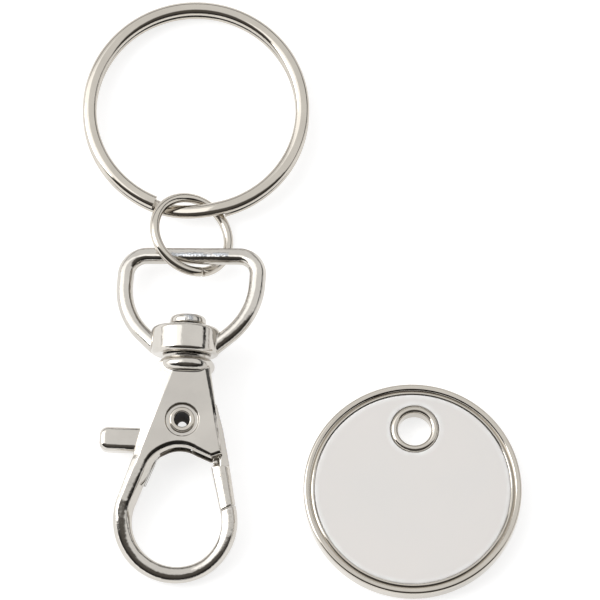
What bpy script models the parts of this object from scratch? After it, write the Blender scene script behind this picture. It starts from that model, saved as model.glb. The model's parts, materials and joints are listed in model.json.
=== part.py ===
"""Coin holder keyring: a split ring, a jump ring, a swivel clasp with a spring gate, and its loose coin.

Lengths are in metres and +Z is up. The object lies flat, with the clasp's front upwards.
The clasp's own frame has its origin on the rivet: +Y runs to the swivel and +Z out of the front face.
"""

import math

import bmesh
import bpy
from mathutils import Matrix, Vector

# Split ring: two coils of flattened wire
RING_OUTER_DIAMETER = 0.0245
RING_LENGTH_SHARE = 1.014
RING_WIRE_WIDTH = 0.0015
RING_WIRE_HEIGHT = 0.00084
RING_WIRE_ROUNDING = 0.00034
RING_COIL_GAP = 0.00044
RING_UPPER_END_X = -0.0041
RING_LOWER_END_X = 0.0039
RING_TURN_STEPS = 52

# Jump ring: one turn of round wire with a butt gap
JUMP_OUTER_DIAMETER = 0.0098
JUMP_WIRE = 0.00105
JUMP_END_GAP = 0.0003
JUMP_END_STEP = 0.00014
JUMP_GAP_ANGLE = math.radians(-72)
JUMP_STEPS = 44

# Swivel eye: D-shaped wire cast in one with its collar
COLLAR_DIAMETER = 0.0073
COLLAR_HEIGHT = 0.00305
COLLAR_ROUNDING = 0.0005
COLLAR_PLAY = 0.00045
COLLAR_SIDE_SHIFT = 0.0002
EYE_WIRE = 0.0018
EYE_OUTER_WIDTH = 0.0163
EYE_REACH = 0.0098
EYE_CORNER_RADIUS = 0.0022
EYE_SIDE_RADIUS = 0.00765
EYE_SIDE_STRAIGHT = 0.0011
EYE_ROOT_RISE = 0.0008
EYE_ARC_STEPS = 8

# Stem, bead and peened head of the clasp, turned about its length
STEM_DIAMETER = 0.003
STEM_X = 0.0002
BEAD_DIAMETER = 0.0061
BEAD_HEIGHT = 0.0016
BEAD_CENTER_Y = 0.0061
BEAD_TO_COLLAR = 0.00037
HEAD_DIAMETER = 0.0039
HEAD_HEIGHT = 0.00102
HEAD_ROUNDING = 0.0006
HEAD_DIMPLE_RADIUS = 0.0006
HEAD_DIMPLE_DEPTH = 0.00025
HEAD_TO_COLLAR = 0.0003

# Clasp body: a flared casting with a flat front and back
BODY_HALF_DEPTH = 0.0021
BODY_TOP_Y = 0.0058
BODY_TOP_HALF_WIDTH = 0.0028
BODY_LEFT_FLARE = 0.235
BODY_RIGHT_FLARE = 0.175
BODY_FACE_TOP_LEFT = -0.001
BODY_FACE_TOP_RIGHT = 0.0021
BODY_FACE_LEFT_FLARE = 0.35
BODY_FACE_RIGHT_FLARE = 0.225
BODY_SIDE_HALF_DEPTH = 0.0016
BODY_ARCH_RADIUS = 0.0034
BODY_ARCH_CENTER_Y = -0.006
BODY_ARCH_CHAMFER = 0.0005
BODY_RIGHT_END_Y = -0.0037
BODY_LEG_END_Y = -0.006
BODY_LEG_HALF_DEPTH = 0.0009
BODY_EDGE_ROUNDING = 0.00022
BODY_SECTIONS = 7

# Hook: wire of oval section round the loop
HOOK_HALF_DEPTH = 0.00165
HOOK_END_HALF_DEPTH = 0.00108
HOOK_TAPER_Y = -0.008
HOOK_OUTER_RADIUS = 0.00662
HOOK_WIDTH = 0.00187
HOOK_X = -0.0003
HOOK_Y = -0.0107
HOOK_INNER_SHIFT_X = 0.00016
HOOK_INNER_SHIFT_Y = -0.0001
HOOK_LEG_LEAN = math.radians(18.5)
HOOK_LEG_TOP_Y = -0.0039
HOOK_ROUNDNESS = 0.72
HOOK_ARC_STEPS = 30
HOOK_LEG_STEPS = 5
SECTION_POINTS = 14

# Gate lever, on the rivet
GATE_TIP_INNER_ANGLE = math.radians(16.1)
GATE_TIP_OUTER_ANGLE = math.radians(17.3)
GATE_ARM_INNER_X = 0.0034
GATE_ARM_INNER_Y = -0.0048
GATE_ARM_OUTER_X = 0.00525
GATE_ARM_OUTER_Y = -0.00465
GATE_TO_HOOK = 0.0003
GATE_ARM_STEPS = 5
LEVER_HUB_RADIUS = 0.00215
LEVER_HALF_THICKNESS = 0.001
LEVER_SHOULDER_Y = 0.00245
LEVER_SPINE_TOP_X = 0.00365
LEVER_SPINE_MID_X = 0.00445
LEVER_SPINE_MID_Y = -0.00093
LEVER_SPINE_INNER_X = 0.003
LEVER_SPINE_INNER_Y = -0.0028
LEVER_FLOOR_THICKNESS = 0.0006
LEVER_TO_SLOT = 0.0003
THUMB_TIP_X = -0.00872
THUMB_TO_BODY = 0.0003
THUMB_TOP_Y = -0.00095
THUMB_WIDTH = 0.00235
THUMB_HALF_THICKNESS = 0.0012
THUMB_ROUNDING = 0.00045
THUMB_CORNER_RADIUS = 0.0009
THUMB_HEEL_X = -0.0022
THUMB_TO_STOP = 0.00025
GATE_OPENING = math.radians(25)

# Hollow rivet
RIVET_HOLE_DIAMETER = 0.0016
RIVET_SHANK_DIAMETER = 0.0021
RIVET_FLANGE_DIAMETER = 0.0027
RIVET_FLANGE_HEIGHT = 0.00035
RIVET_FIT = 0.00015
RIVET_STAND_OUT = 0.0001
COUNTERBORE_DIAMETER = 0.0036

# Torsion spring of the gate
SPRING_WIRE = 0.00026
SPRING_COIL_RADIUS = 0.00145
SPRING_PITCH = 0.00068
SPRING_START_Z = -0.00002
SPRING_FIXED_TURN = math.radians(158)
SPRING_SWEEP = math.radians(498)
SPRING_TURN_STEPS = 16
SPRING_KNEE_X = -0.00292
SPRING_KNEE_Y = -0.0043
SPRING_END_X = -0.0037
SPRING_END_Y = -0.007
SPRING_GATE_END_Y = -0.0031
SPRING_TO_WALL = 0.0003
GROOVE_LEAD_SHARE = 0.4

# Coin: a token with a raised rim and an eyelet
COIN_DIAMETER = 0.02325
COIN_THICKNESS = 0.0022
COIN_RIM_WIDTH = 0.00112
COIN_BEAD_WIDTH = 0.00078
COIN_BEAD_LAND = 0.00026
COIN_BEAD_ROUNDING = 0.0003
COIN_GROOVE_DEPTH = 0.00022
COIN_LIP_DROP = 0.0001
COIN_FRONT_RECESS = 0.00062
COIN_BACK_RECESS = 0.0004
COIN_STEPS = 72
EYELET_TO_RIM = 0.001275
EYELET_OUTER_DIAMETER = 0.00516
EYELET_HOLE_DIAMETER = 0.00355
EYELET_STEPS = 32
INLAY_THICKNESS = 0.0003
INLAY_CLEARANCE = 0.0001

# Where the pieces lie
EYE_SLOPE = math.radians(-2.8)
EYE_ROLL = math.radians(11.9)
EYE_LEAN = math.radians(2.7)
JUMP_TILT = math.radians(24.3)
JUMP_PITCH = math.radians(9.96)
BAR_SEAT_X = -0.00063
BAR_SEAT_ANGLE = math.radians(262.9)
BAR_SEAT_CLEARANCE = 0.00026
RING_SEAT_Z = -0.00016
RING_SEAT_ANGLE = math.radians(91.3)
RING_SEAT_CLEARANCE = 0.00029
COIN_X = 0.0248
COIN_Y = -0.0061

# One overrun serves all cuts
OVERRUN = 0.0008
WELD = 0.000002
ROUND_STEPS = 32
PITCH_ROUNDS = 6

NICKEL = (0.62, 0.60, 0.57, 1)
SPRING_STEEL = (0.70, 0.69, 0.67, 1)
ENAMEL = (0.86, 0.85, 0.83, 1)


# Scene and object helpers

def clear_scene():
    for old in list(bpy.data.objects):
        bpy.data.objects.remove(old, do_unlink=True)


def make_collection(name):
    made = bpy.data.collections.new(name)
    bpy.context.scene.collection.children.link(made)
    return made


clear_scene()
PARTS = make_collection("coin_holder_keyring")
CUTTERS = make_collection("cutters")


def make_material(name, color, metallic, roughness):
    material = bpy.data.materials.new(name)
    material.use_nodes = True
    shader = material.node_tree.nodes["Principled BSDF"]
    shader.inputs["Base Color"].default_value = color
    shader.inputs["Metallic"].default_value = metallic
    shader.inputs["Roughness"].default_value = roughness
    material.diffuse_color = color
    return material


def make_empty(name, matrix, parent=None):
    empty = bpy.data.objects.new(name, None)
    PARTS.objects.link(empty)
    empty.parent = parent
    empty.matrix_local = matrix
    return empty


def add_object(name, data, parent=None, matrix=None):
    made = bpy.data.objects.new(name, data)
    PARTS.objects.link(made)
    made.parent = parent
    made.matrix_local = matrix or Matrix.Identity(4)
    return made


def as_tool(tool):
    """Keeps an object as an operand of a Boolean, out of the finished part."""
    PARTS.objects.unlink(tool)
    CUTTERS.objects.link(tool)
    tool.hide_render = True
    tool.display_type = "WIRE"
    return tool


def combine(target, tool, operation):
    modifier = target.modifiers.new(tool.name, "BOOLEAN")
    modifier.operation = operation
    modifier.solver = "EXACT"
    modifier.object = as_tool(tool)


def round_edges(target, width, segments, angle):
    modifier = target.modifiers.new("rounding", "BEVEL")
    modifier.width = width
    modifier.segments = segments
    modifier.limit_method = "ANGLE"
    modifier.angle_limit = angle


def finish_piece(piece, color, metallic=1.0, roughness=0.16):
    piece.data.materials.clear()
    piece.data.materials.append(make_material(piece.name, color, metallic, roughness))
    piece.data.shade_smooth()
    piece.data.set_sharp_from_angle(angle=math.radians(35))


# Forms

def turned(name, profile, steps, parent=None, matrix=None):
    """A profile of (radius, height) points, outer side from top to bottom, turned about its own Z."""
    mesh = bpy.data.meshes.new(name)
    count = len(profile)
    closed = profile[0][0] > 0
    edges = [(i, (i + 1) % count) for i in range(count if closed else count - 1)]
    mesh.from_pydata([(radius, 0, height) for radius, height in profile], edges, [])
    piece = add_object(name, mesh, parent, matrix)
    screw = piece.modifiers.new("turning", "SCREW")
    screw.steps = steps
    screw.render_steps = steps
    screw.use_merge_vertices = True
    screw.merge_threshold = WELD
    return piece


def arc(center, radius, start, end, steps):
    """Points on a circle, from one angle to another, both ends included."""
    turn = (end - start) / steps
    angles = [start + turn * i for i in range(steps + 1)]
    return [(center[0] + radius * math.cos(a), center[1] + radius * math.sin(a)) for a in angles]


def cylinder(name, radius, half_height, parent=None, matrix=None):
    shape = bmesh.new()
    bmesh.ops.create_cone(
        shape, cap_ends=True, segments=ROUND_STEPS, radius1=radius, radius2=radius, depth=2 * half_height
    )
    mesh = bpy.data.meshes.new(name)
    shape.to_mesh(mesh)
    shape.free()
    return add_object(name, mesh, parent, matrix)


def curve_data(name, points, closed):
    curve = bpy.data.curves.new(name, "CURVE")
    spline = curve.splines.new("POLY")
    spline.points.add(len(points) - 1)
    for place, point in zip(spline.points, points):
        place.co = (*point, 1) if len(point) == 3 else (*point, 0, 1)
    spline.use_cyclic_u = closed
    return curve


def mesh_from_curve(piece):
    """The curve object's own mesh, its caps welded, in the curve's place."""
    depsgraph = bpy.context.evaluated_depsgraph_get()
    mesh = bpy.data.meshes.new_from_object(piece.evaluated_get(depsgraph))
    shape = bmesh.new()
    shape.from_mesh(mesh)
    bmesh.ops.remove_doubles(shape, verts=shape.verts, dist=WELD)
    bmesh.ops.recalc_face_normals(shape, faces=shape.faces)
    shape.to_mesh(mesh)
    shape.free()
    name, parent, matrix = piece.name, piece.parent, piece.matrix_local.copy()
    bpy.data.objects.remove(piece, do_unlink=True)
    return add_object(name, mesh, parent, matrix)


def plate(name, outline, half_thickness, parent=None, matrix=None):
    """A flat outline in XY with its thickness along Z."""
    curve = curve_data(name, outline, True)
    curve.dimensions = "2D"
    curve.fill_mode = "BOTH"
    curve.extrude = half_thickness
    return mesh_from_curve(add_object(name, curve, parent, matrix))


def wire(name, points, diameter, sides_share, parent=None, matrix=None):
    curve = curve_data(name, points, False)
    curve.dimensions = "3D"
    curve.fill_mode = "FULL"
    curve.bevel_depth = diameter / 2
    curve.bevel_resolution = sides_share
    curve.use_fill_caps = True
    return add_object(name, curve, parent, matrix)


def loft(name, rings, parent=None, matrix=None):
    """A closed skin over rings that have the same number of points, with flat ends."""
    shape = bmesh.new()
    rows = [[shape.verts.new(point) for point in ring] for ring in rings]
    for row, following in zip(rows, rows[1:]):
        for i in range(len(row)):
            j = (i + 1) % len(row)
            shape.faces.new((row[i], row[j], following[j], following[i]))
    shape.faces.new(rows[0])
    shape.faces.new(rows[-1])
    bmesh.ops.recalc_face_normals(shape, faces=shape.faces)
    mesh = bpy.data.meshes.new(name)
    shape.to_mesh(mesh)
    shape.free()
    return add_object(name, mesh, parent, matrix)


def oval_ring(inner, outer, half_depth):
    """An oval section that spans two points of the XY plane."""
    middle = (inner + outer) / 2
    reach = (outer - inner) / 2
    ring = []
    for i in range(SECTION_POINTS):
        turn = 2 * math.pi * (i + 1 / 2) / SECTION_POINTS
        across = math.copysign(abs(math.cos(turn)) ** HOOK_ROUNDNESS, math.cos(turn))
        upward = math.copysign(abs(math.sin(turn)) ** HOOK_ROUNDNESS, math.sin(turn))
        place = middle + reach * across
        ring.append((place.x, place.y, half_depth * upward))
    return ring


# Split ring

def ring_radius():
    return (RING_OUTER_DIAMETER - RING_WIRE_WIDTH) / 2


def ring_length_radius():
    return ring_radius() * RING_LENGTH_SHARE


def ring_pitch():
    return RING_WIRE_HEIGHT + RING_COIL_GAP


def ring_point(turn):
    """A point of the wire's centre line. Turn 0 is the middle of the step, at -Y."""
    lower_end = RING_LOWER_END_X / ring_radius()
    upper_end = RING_UPPER_END_X / ring_radius()
    start = 2 * math.pi + upper_end
    climb = min(1, max(0, (turn - start) / (lower_end - upper_end)))
    height = ring_pitch() * (climb * climb * (3 - 2 * climb) - 1 / 2)
    angle = turn - math.pi / 2
    return Vector((ring_radius() * math.cos(angle), ring_length_radius() * math.sin(angle), height))


def ring_points():
    first = RING_LOWER_END_X / ring_radius()
    last = 4 * math.pi + RING_UPPER_END_X / ring_radius()
    count = 2 * RING_TURN_STEPS
    return [ring_point(first + (last - first) * i / count) for i in range(count + 1)]


def wire_section():
    """The flattened wire's rounded outline, its width along X."""
    half_width = RING_WIRE_WIDTH / 2 - RING_WIRE_ROUNDING
    half_height = RING_WIRE_HEIGHT / 2 - RING_WIRE_ROUNDING
    corners = ((1, 1), (-1, 1), (-1, -1), (1, -1))
    outline = []
    for i, (side, level) in enumerate(corners):
        center = (side * half_width, level * half_height)
        outline += arc(center, RING_WIRE_ROUNDING, i * math.pi / 2, (i + 1) * math.pi / 2, 2)
    return outline


def least_coil_gap(points, diameter, apart):
    """The least distance between stretches of a wire that lie further apart than this along it."""
    least = math.inf
    for i, point in enumerate(points):
        for other in points[i + apart:]:
            least = min(least, (point - other).length)
    return least - diameter


def build_split_ring(matrix, parent):
    frame = make_empty("split_ring_pivot", matrix, parent)
    outline = wire_section()
    section = add_object("ring_wire_section", curve_data("ring_wire_section", outline, True))
    section.data.dimensions = "2D"
    section.data.fill_mode = "NONE"
    as_tool(section)
    curve = curve_data("split_ring", ring_points(), False)
    curve.dimensions = "3D"
    curve.twist_mode = "Z_UP"
    curve.bevel_mode = "OBJECT"
    curve.bevel_object = section
    curve.use_fill_caps = True
    rough = add_object("split_ring", curve, frame, Matrix.Translation((0, ring_length_radius(), 0)))
    ring = mesh_from_curve(rough)
    ring.name = "split_ring"
    finish_piece(ring, NICKEL)
    gap = least_coil_gap(ring_points(), RING_WIRE_HEIGHT, RING_TURN_STEPS // 2)
    print(f"split ring: least gap between its coils {gap * 1000:.3f} mm")
    return ring


# Jump ring

def jump_radius():
    return (JUMP_OUTER_DIAMETER - JUMP_WIRE) / 2


def build_jump_ring(matrix, parent, center):
    frame = make_empty("jump_ring_pivot", matrix, parent)
    half_gap = (JUMP_END_GAP + JUMP_WIRE / 4) / jump_radius() / 2
    first = JUMP_GAP_ANGLE + half_gap
    sweep = 2 * math.pi - 2 * half_gap
    points = []
    for i in range(JUMP_STEPS + 1):
        share = i / JUMP_STEPS
        angle = first + sweep * share
        height = JUMP_END_STEP * (share - 1 / 2)
        points.append((jump_radius() * math.cos(angle), jump_radius() * math.sin(angle), height))
    ring = wire("jump_ring", points, JUMP_WIRE, 3, frame, matrix.inverted() @ center)
    ring = mesh_from_curve(ring)
    ring.name = "jump_ring"
    finish_piece(ring, NICKEL)
    return ring


# Swivel eye

def bore_radius():
    return STEM_DIAMETER / 2 + COLLAR_PLAY


def collar_profile():
    """The collar's section, round its outer lips and straight in its bore."""
    radius = COLLAR_DIAMETER / 2
    half = COLLAR_HEIGHT / 2
    rounding = COLLAR_ROUNDING
    inset = radius - rounding
    top = arc((inset, half - rounding), rounding, math.pi / 2, 0, 3)
    bottom = arc((inset, rounding - half), rounding, 0, -math.pi / 2, 3)
    return top + bottom + [(bore_radius(), -half), (bore_radius(), half)]


def eye_path():
    """The centre line of the D, from inside the collar's right wall round to its left wall."""
    half_width = (EYE_OUTER_WIDTH - EYE_WIRE) / 2
    corner_y = EYE_REACH - EYE_CORNER_RADIUS
    side_center = (half_width - EYE_SIDE_RADIUS, corner_y - EYE_SIDE_STRAIGHT)
    low = -math.asin((side_center[1] - EYE_ROOT_RISE) / EYE_SIDE_RADIUS)
    side = arc(side_center, EYE_SIDE_RADIUS, low, 0, EYE_ARC_STEPS)
    corner_center = (half_width - EYE_CORNER_RADIUS, corner_y)
    corner = arc(corner_center, EYE_CORNER_RADIUS, 0, math.pi / 2, EYE_ARC_STEPS)
    root_x = (bore_radius() + COLLAR_DIAMETER / 2) / 2 + EYE_WIRE / 8
    run = (side[0][0] - root_x) / math.sin(-low)
    root = (root_x, side[0][1] - run * math.cos(low))
    right = [root] + side + corner
    left = [(-x, y) for x, y in reversed(right)]
    return [(x, y, 0) for x, y in right + left]


def build_swivel_eye(matrix, parent):
    frame = make_empty("swivel_pivot", matrix, parent)
    upright = Matrix.Rotation(-math.pi / 2, 4, "X")
    eye = turned("swivel_eye", collar_profile(), ROUND_STEPS, frame, collar_shift() @ upright)
    bow = wire("eye_bow", eye_path(), EYE_WIRE, 4, frame, bow_turn())
    combine(eye, mesh_from_curve(bow), "UNION")
    finish_piece(eye, NICKEL)
    return eye


# Clasp body

def collar_center_y():
    return BEAD_CENTER_Y + BEAD_HEIGHT / 2 + BEAD_TO_COLLAR + COLLAR_HEIGHT / 2


def head_base_y():
    return collar_center_y() + COLLAR_HEIGHT / 2 + HEAD_TO_COLLAR


def stem_profile():
    """Peened head, stem and bead, from the head's dimple down to inside the body."""
    head = HEAD_DIAMETER / 2
    base = head_base_y()
    top = base + HEAD_HEIGHT
    bead_tube = BEAD_HEIGHT / 2
    bead_inset = BEAD_DIAMETER / 2 - bead_tube
    rounding = HEAD_ROUNDING
    dimple = [(0, top - HEAD_DIMPLE_DEPTH), (HEAD_DIMPLE_RADIUS, top)]
    crown = arc((head - rounding, top - rounding), rounding, math.pi / 2, 0, 4)
    foot = [(head, base + rounding / 4), (head - rounding / 4, base), (STEM_DIAMETER / 2, base)]
    bead = arc((bead_inset, BEAD_CENTER_Y), bead_tube, math.pi / 2, -math.pi / 2, 6)
    neck = [(STEM_DIAMETER / 2, BEAD_CENTER_Y + bead_tube)]
    root = BODY_TOP_Y - BEAD_HEIGHT
    end = [(STEM_DIAMETER / 2, root), (0, root)]
    return dimple + crown + foot + neck + bead + [(STEM_DIAMETER / 2, BEAD_CENTER_Y - bead_tube)] + end


def hook_outer(angle):
    """A point of the hook's outer circle."""
    return Vector((HOOK_X, HOOK_Y)) + HOOK_OUTER_RADIUS * Vector((math.cos(angle), math.sin(angle)))


def hook_inner(angle):
    """A point of the hook's inner circle, narrower by the wire's width and a little to one side."""
    radius = HOOK_OUTER_RADIUS - HOOK_WIDTH
    center = Vector((HOOK_X + HOOK_INNER_SHIFT_X, HOOK_Y + HOOK_INNER_SHIFT_Y))
    return center + radius * Vector((math.cos(angle), math.sin(angle)))


def hook_bottom_y():
    """The middle of the wire at the hook's lowest point in the picture."""
    bottom = -math.pi / 2
    return (hook_outer(bottom).y + hook_inner(bottom).y) / 2


def hook_half_depth(y):
    """The hook's wire is deep at the body and nearly round at the bottom of the loop."""
    share = min(1, max(0, (HOOK_TAPER_Y - y) / (HOOK_TAPER_Y - hook_bottom_y())))
    return HOOK_HALF_DEPTH + (HOOK_END_HALF_DEPTH - HOOK_HALF_DEPTH) * share


def hook_ring(inner, outer):
    return oval_ring(inner, outer, hook_half_depth((inner.y + outer.y) / 2))


def gate_tip():
    """The inner and the outer corner of the gate's free end."""
    return hook_inner(GATE_TIP_INNER_ANGLE), hook_outer(GATE_TIP_OUTER_ANGLE)


def gate_arm_top():
    """The inner and the outer corner of the gate arm's upper end."""
    return Vector((GATE_ARM_INNER_X, GATE_ARM_INNER_Y)), Vector((GATE_ARM_OUTER_X, GATE_ARM_OUTER_Y))


def arch_radius():
    """The arch where it goes through, inside its chamfers."""
    return BODY_ARCH_RADIUS - BODY_ARCH_CHAMFER


def leg_inner_top():
    """Where the arch runs into the hook's leg."""
    lean = HOOK_LEG_LEAN
    return Vector((-arch_radius() * math.cos(lean), BODY_ARCH_CENTER_Y + arch_radius() * math.sin(lean)))


def leg_outer_x(y):
    """The left silhouette of the hook's leg, a line that touches the hook's outer circle."""
    touch = hook_outer(math.pi - HOOK_LEG_LEAN)
    return touch.x + (y - touch.y) * math.tan(HOOK_LEG_LEAN)


def body_ring(y):
    """The body's section at this height: flat front and back, wide left bevel, narrow right bevel."""
    drop = BODY_TOP_Y - y
    flare_left = -BODY_TOP_HALF_WIDTH - BODY_LEFT_FLARE * drop
    left = max(flare_left, leg_outer_x(y)) if y < BODY_RIGHT_END_Y else flare_left
    right = BODY_TOP_HALF_WIDTH + BODY_RIGHT_FLARE * drop
    face_left = BODY_FACE_TOP_LEFT - BODY_FACE_LEFT_FLARE * drop
    face_right = BODY_FACE_TOP_RIGHT + BODY_FACE_RIGHT_FLARE * drop
    taper = max(0, (BODY_RIGHT_END_Y - y) / (BODY_RIGHT_END_Y - BODY_LEG_END_Y))
    depth = BODY_HALF_DEPTH + (BODY_LEG_HALF_DEPTH - BODY_HALF_DEPTH) * taper
    side = BODY_SIDE_HALF_DEPTH * (1 - taper) + depth / 2 * taper
    face_left = max(face_left, left + (BODY_HALF_DEPTH - BODY_SIDE_HALF_DEPTH))
    front = [(face_left, y, depth), (face_right, y, depth), (right, y, side)]
    back = [(right, y, -side), (face_right, y, -depth), (face_left, y, -depth)]
    return front + back + [(left, y, -side), (left, y, side)]


def body_heights():
    upper = [BODY_TOP_Y + (BODY_RIGHT_END_Y - BODY_TOP_Y) * i / BODY_SECTIONS for i in range(BODY_SECTIONS)]
    lower = [BODY_RIGHT_END_Y + (BODY_LEG_END_Y - BODY_RIGHT_END_Y) * i / 3 for i in range(4)]
    return upper + lower


def hook_pairs():
    """Pairs of points on the inner and outer outline, down the left leg and round to the gate."""
    start = math.pi - HOOK_LEG_LEAN
    end = 2 * math.pi + GATE_TIP_INNER_ANGLE
    angles = [start + (end - start) * i / HOOK_ARC_STEPS for i in range(HOOK_ARC_STEPS)]
    pairs = [(hook_inner(angle), hook_outer(angle)) for angle in angles]
    inner_low, outer_low = pairs[0]
    outer_top = Vector((leg_outer_x(HOOK_LEG_TOP_Y), HOOK_LEG_TOP_Y))
    leg = []
    for i in range(HOOK_LEG_STEPS):
        share = i / HOOK_LEG_STEPS
        leg.append((leg_inner_top().lerp(inner_low, share), outer_top.lerp(outer_low, share)))
    inner, outer = gate_tip()
    drop = gate_joint_drop()
    return leg + pairs + [(inner - drop, outer - drop)]


def gate_joint_drop():
    """From the gate's end face square across the joint to the hook's end face."""
    inner, outer = gate_tip()
    along = (outer - inner).normalized()
    return Vector((-along.y, along.x)) * GATE_TO_HOOK


def arch_outline():
    """What is open below the front face: the arch, and all that lies to its right."""
    center = (0, BODY_ARCH_CENTER_Y)
    far = gate_tip()[1].x + OVERRUN
    corner = math.asin((BODY_RIGHT_END_Y - BODY_ARCH_CENTER_Y) / arch_radius())
    top = arc(center, arch_radius(), corner, math.pi - HOOK_LEG_LEAN, ROUND_STEPS // 2)
    leg_end = hook_inner(math.pi - HOOK_LEG_LEAN)
    return top + [tuple(leg_end), (far, leg_end.y), (far, BODY_RIGHT_END_Y)]


def arch_chamfer(name, side, frame):
    """A cone that takes off the arch's edge on one face."""
    reach = BODY_ARCH_CHAMFER + OVERRUN
    profile = [
        (0, reach),
        (arch_radius() + reach, reach),
        (arch_radius(), 0),
        (0, 0),
    ]
    turn = Matrix.Rotation(0 if side > 0 else math.pi, 4, "X")
    base = side * (BODY_HALF_DEPTH - BODY_ARCH_CHAMFER)
    place = Matrix.Translation((0, BODY_ARCH_CENTER_Y, base)) @ turn
    return turned(name, profile, ROUND_STEPS, frame, place)


def slot_half_depth():
    return LEVER_HALF_THICKNESS + LEVER_TO_SLOT


def thumb_bottom_y():
    return THUMB_TOP_Y - THUMB_WIDTH


def slot_outline():
    """The slot that the lever swings in, open to both sides and to the arch."""
    stop = thumb_bottom_y() - THUMB_TO_STOP
    left = leg_outer_x(stop) - OVERRUN
    right = GATE_ARM_OUTER_X + OVERRUN
    hub = LEVER_HUB_RADIUS + LEVER_TO_SLOT
    swing = GATE_OPENING + math.atan2(-THUMB_TOP_Y, -left)
    clear = LEVER_TO_SLOT / math.cos(swing)
    left_top = -left * math.tan(GATE_OPENING) + THUMB_TOP_Y / math.cos(GATE_OPENING) + clear
    crown = arc((0, 0), hub, math.radians(75), math.radians(140), 6)
    shoulder = LEVER_SHOULDER_Y + LEVER_TO_SLOT
    low = BODY_RIGHT_END_Y - OVERRUN
    heel = [(left, stop), (THUMB_HEEL_X, stop), (THUMB_HEEL_X, low)]
    spine = [(right, low), (right, shoulder), (hub, shoulder)]
    return heel + spine + crown + [(left, left_top)]


def spring_groove_rings():
    """A shallow groove down the inner side of the hook's leg, for the spring's fixed leg."""
    half = SPRING_WIRE / 2 + SPRING_TO_WALL
    middle = SPRING_START_Z
    stations = []
    knee, end = spring_fixed_leg()
    reach = end - knee
    for share in (-GROOVE_LEAD_SHARE, 1 + half / reach.length):
        place = knee + reach * share
        across = Vector((-reach.y, reach.x)).normalized()
        wall = place - across * half * (1 if across.x > 0 else -1)
        open_side = place + across * BODY_ARCH_RADIUS * (1 if across.x > 0 else -1)
        stations.append([
            (wall.x, wall.y, middle - half), (open_side.x, open_side.y, middle - half),
            (open_side.x, open_side.y, middle + half), (wall.x, wall.y, middle + half),
        ])
    return stations


def build_clasp_body(frame):
    body = loft("clasp_body", [body_ring(y) for y in body_heights()], frame)
    round_edges(body, BODY_EDGE_ROUNDING, 2, math.radians(20))
    combine(body, plate("arch_cut", arch_outline(), BODY_HALF_DEPTH + OVERRUN, frame), "DIFFERENCE")
    combine(body, arch_chamfer("front_arch_chamfer", 1, frame), "DIFFERENCE")
    combine(body, arch_chamfer("back_arch_chamfer", -1, frame), "DIFFERENCE")
    combine(body, plate("slot_cut", slot_outline(), slot_half_depth(), frame), "DIFFERENCE")
    hook = [hook_ring(inner, outer) for inner, outer in hook_pairs()]
    combine(body, loft("hook", hook, frame), "UNION")
    combine(body, loft("spring_groove_cut", spring_groove_rings(), frame), "DIFFERENCE")
    upright = Matrix.Translation((STEM_X, 0, 0)) @ Matrix.Rotation(-math.pi / 2, 4, "X")
    combine(body, turned("stem", stem_profile(), ROUND_STEPS, frame, upright), "UNION")
    bore = RIVET_SHANK_DIAMETER / 2 + RIVET_FIT
    combine(body, cylinder("rivet_bore", bore, BODY_HALF_DEPTH + OVERRUN, frame), "DIFFERENCE")
    sink = counterbore_depth()
    for name, side in (("front_counterbore", 1), ("back_counterbore", -1)):
        middle = side * (BODY_HALF_DEPTH + OVERRUN - sink / 2 - OVERRUN / 2)
        place = Matrix.Translation((0, 0, middle))
        cut = cylinder(name, COUNTERBORE_DIAMETER / 2, (sink + OVERRUN) / 2, frame, place)
        combine(body, cut, "DIFFERENCE")
    finish_piece(body, NICKEL)
    return body


# Hollow rivet

def counterbore_depth():
    return RIVET_FLANGE_HEIGHT + RIVET_FIT - RIVET_STAND_OUT


def rivet_profile():
    hole = RIVET_HOLE_DIAMETER / 2
    shank = RIVET_SHANK_DIAMETER / 2
    flange = RIVET_FLANGE_DIAMETER / 2
    top = BODY_HALF_DEPTH + RIVET_STAND_OUT
    half = RIVET_FLANGE_HEIGHT / 2
    inner = hole + half
    outer = flange - half
    crown = arc((inner, top - half), half, math.pi, math.pi / 2, 3)
    crown += arc((outer, top - half), half, math.pi / 2, -math.pi / 2, 5)
    crown += [(shank, top - RIVET_FLANGE_HEIGHT)]
    return crown + [(radius, -height) for radius, height in reversed(crown)]


def build_pivot_rivet(frame):
    rivet = turned("pivot_rivet", rivet_profile(), ROUND_STEPS - 8, frame)
    finish_piece(rivet, NICKEL)
    return rivet


# Gate lever

def lever_outline():
    """Hub, spine down the right side and thumb arm to the left."""
    hub = LEVER_HUB_RADIUS
    bottom = thumb_bottom_y()
    meet = math.pi - math.asin(THUMB_TOP_Y / hub)
    crown = arc((0, 0), hub, math.radians(65), meet, 8)
    shoulder = (LEVER_SPINE_TOP_X - LEVER_SHOULDER_Y / 5, LEVER_SHOULDER_Y)
    spine = [
        (LEVER_SPINE_TOP_X, LEVER_SHOULDER_Y * 3 / 4),
        (LEVER_SPINE_MID_X, LEVER_SPINE_MID_Y),
        (GATE_ARM_OUTER_X, GATE_ARM_OUTER_Y),
        (GATE_ARM_INNER_X, GATE_ARM_INNER_Y),
        (LEVER_SPINE_INNER_X, LEVER_SPINE_INNER_Y),
    ]
    belly = arc((0, 0), hub, math.radians(-50), math.radians(-100), 5)
    root = thumb_root_x(bottom) - THUMB_ROUNDING
    arm = [(THUMB_HEEL_X, bottom), (root, bottom), (root, THUMB_TOP_Y)]
    return list(reversed(crown)) + [shoulder] + spine + belly + arm


def thumb_root_x(y):
    """Where the thumb pad starts, just outside the body's left side."""
    return -BODY_TOP_HALF_WIDTH - BODY_LEFT_FLARE * (BODY_TOP_Y - y) - THUMB_TO_BODY


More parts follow.
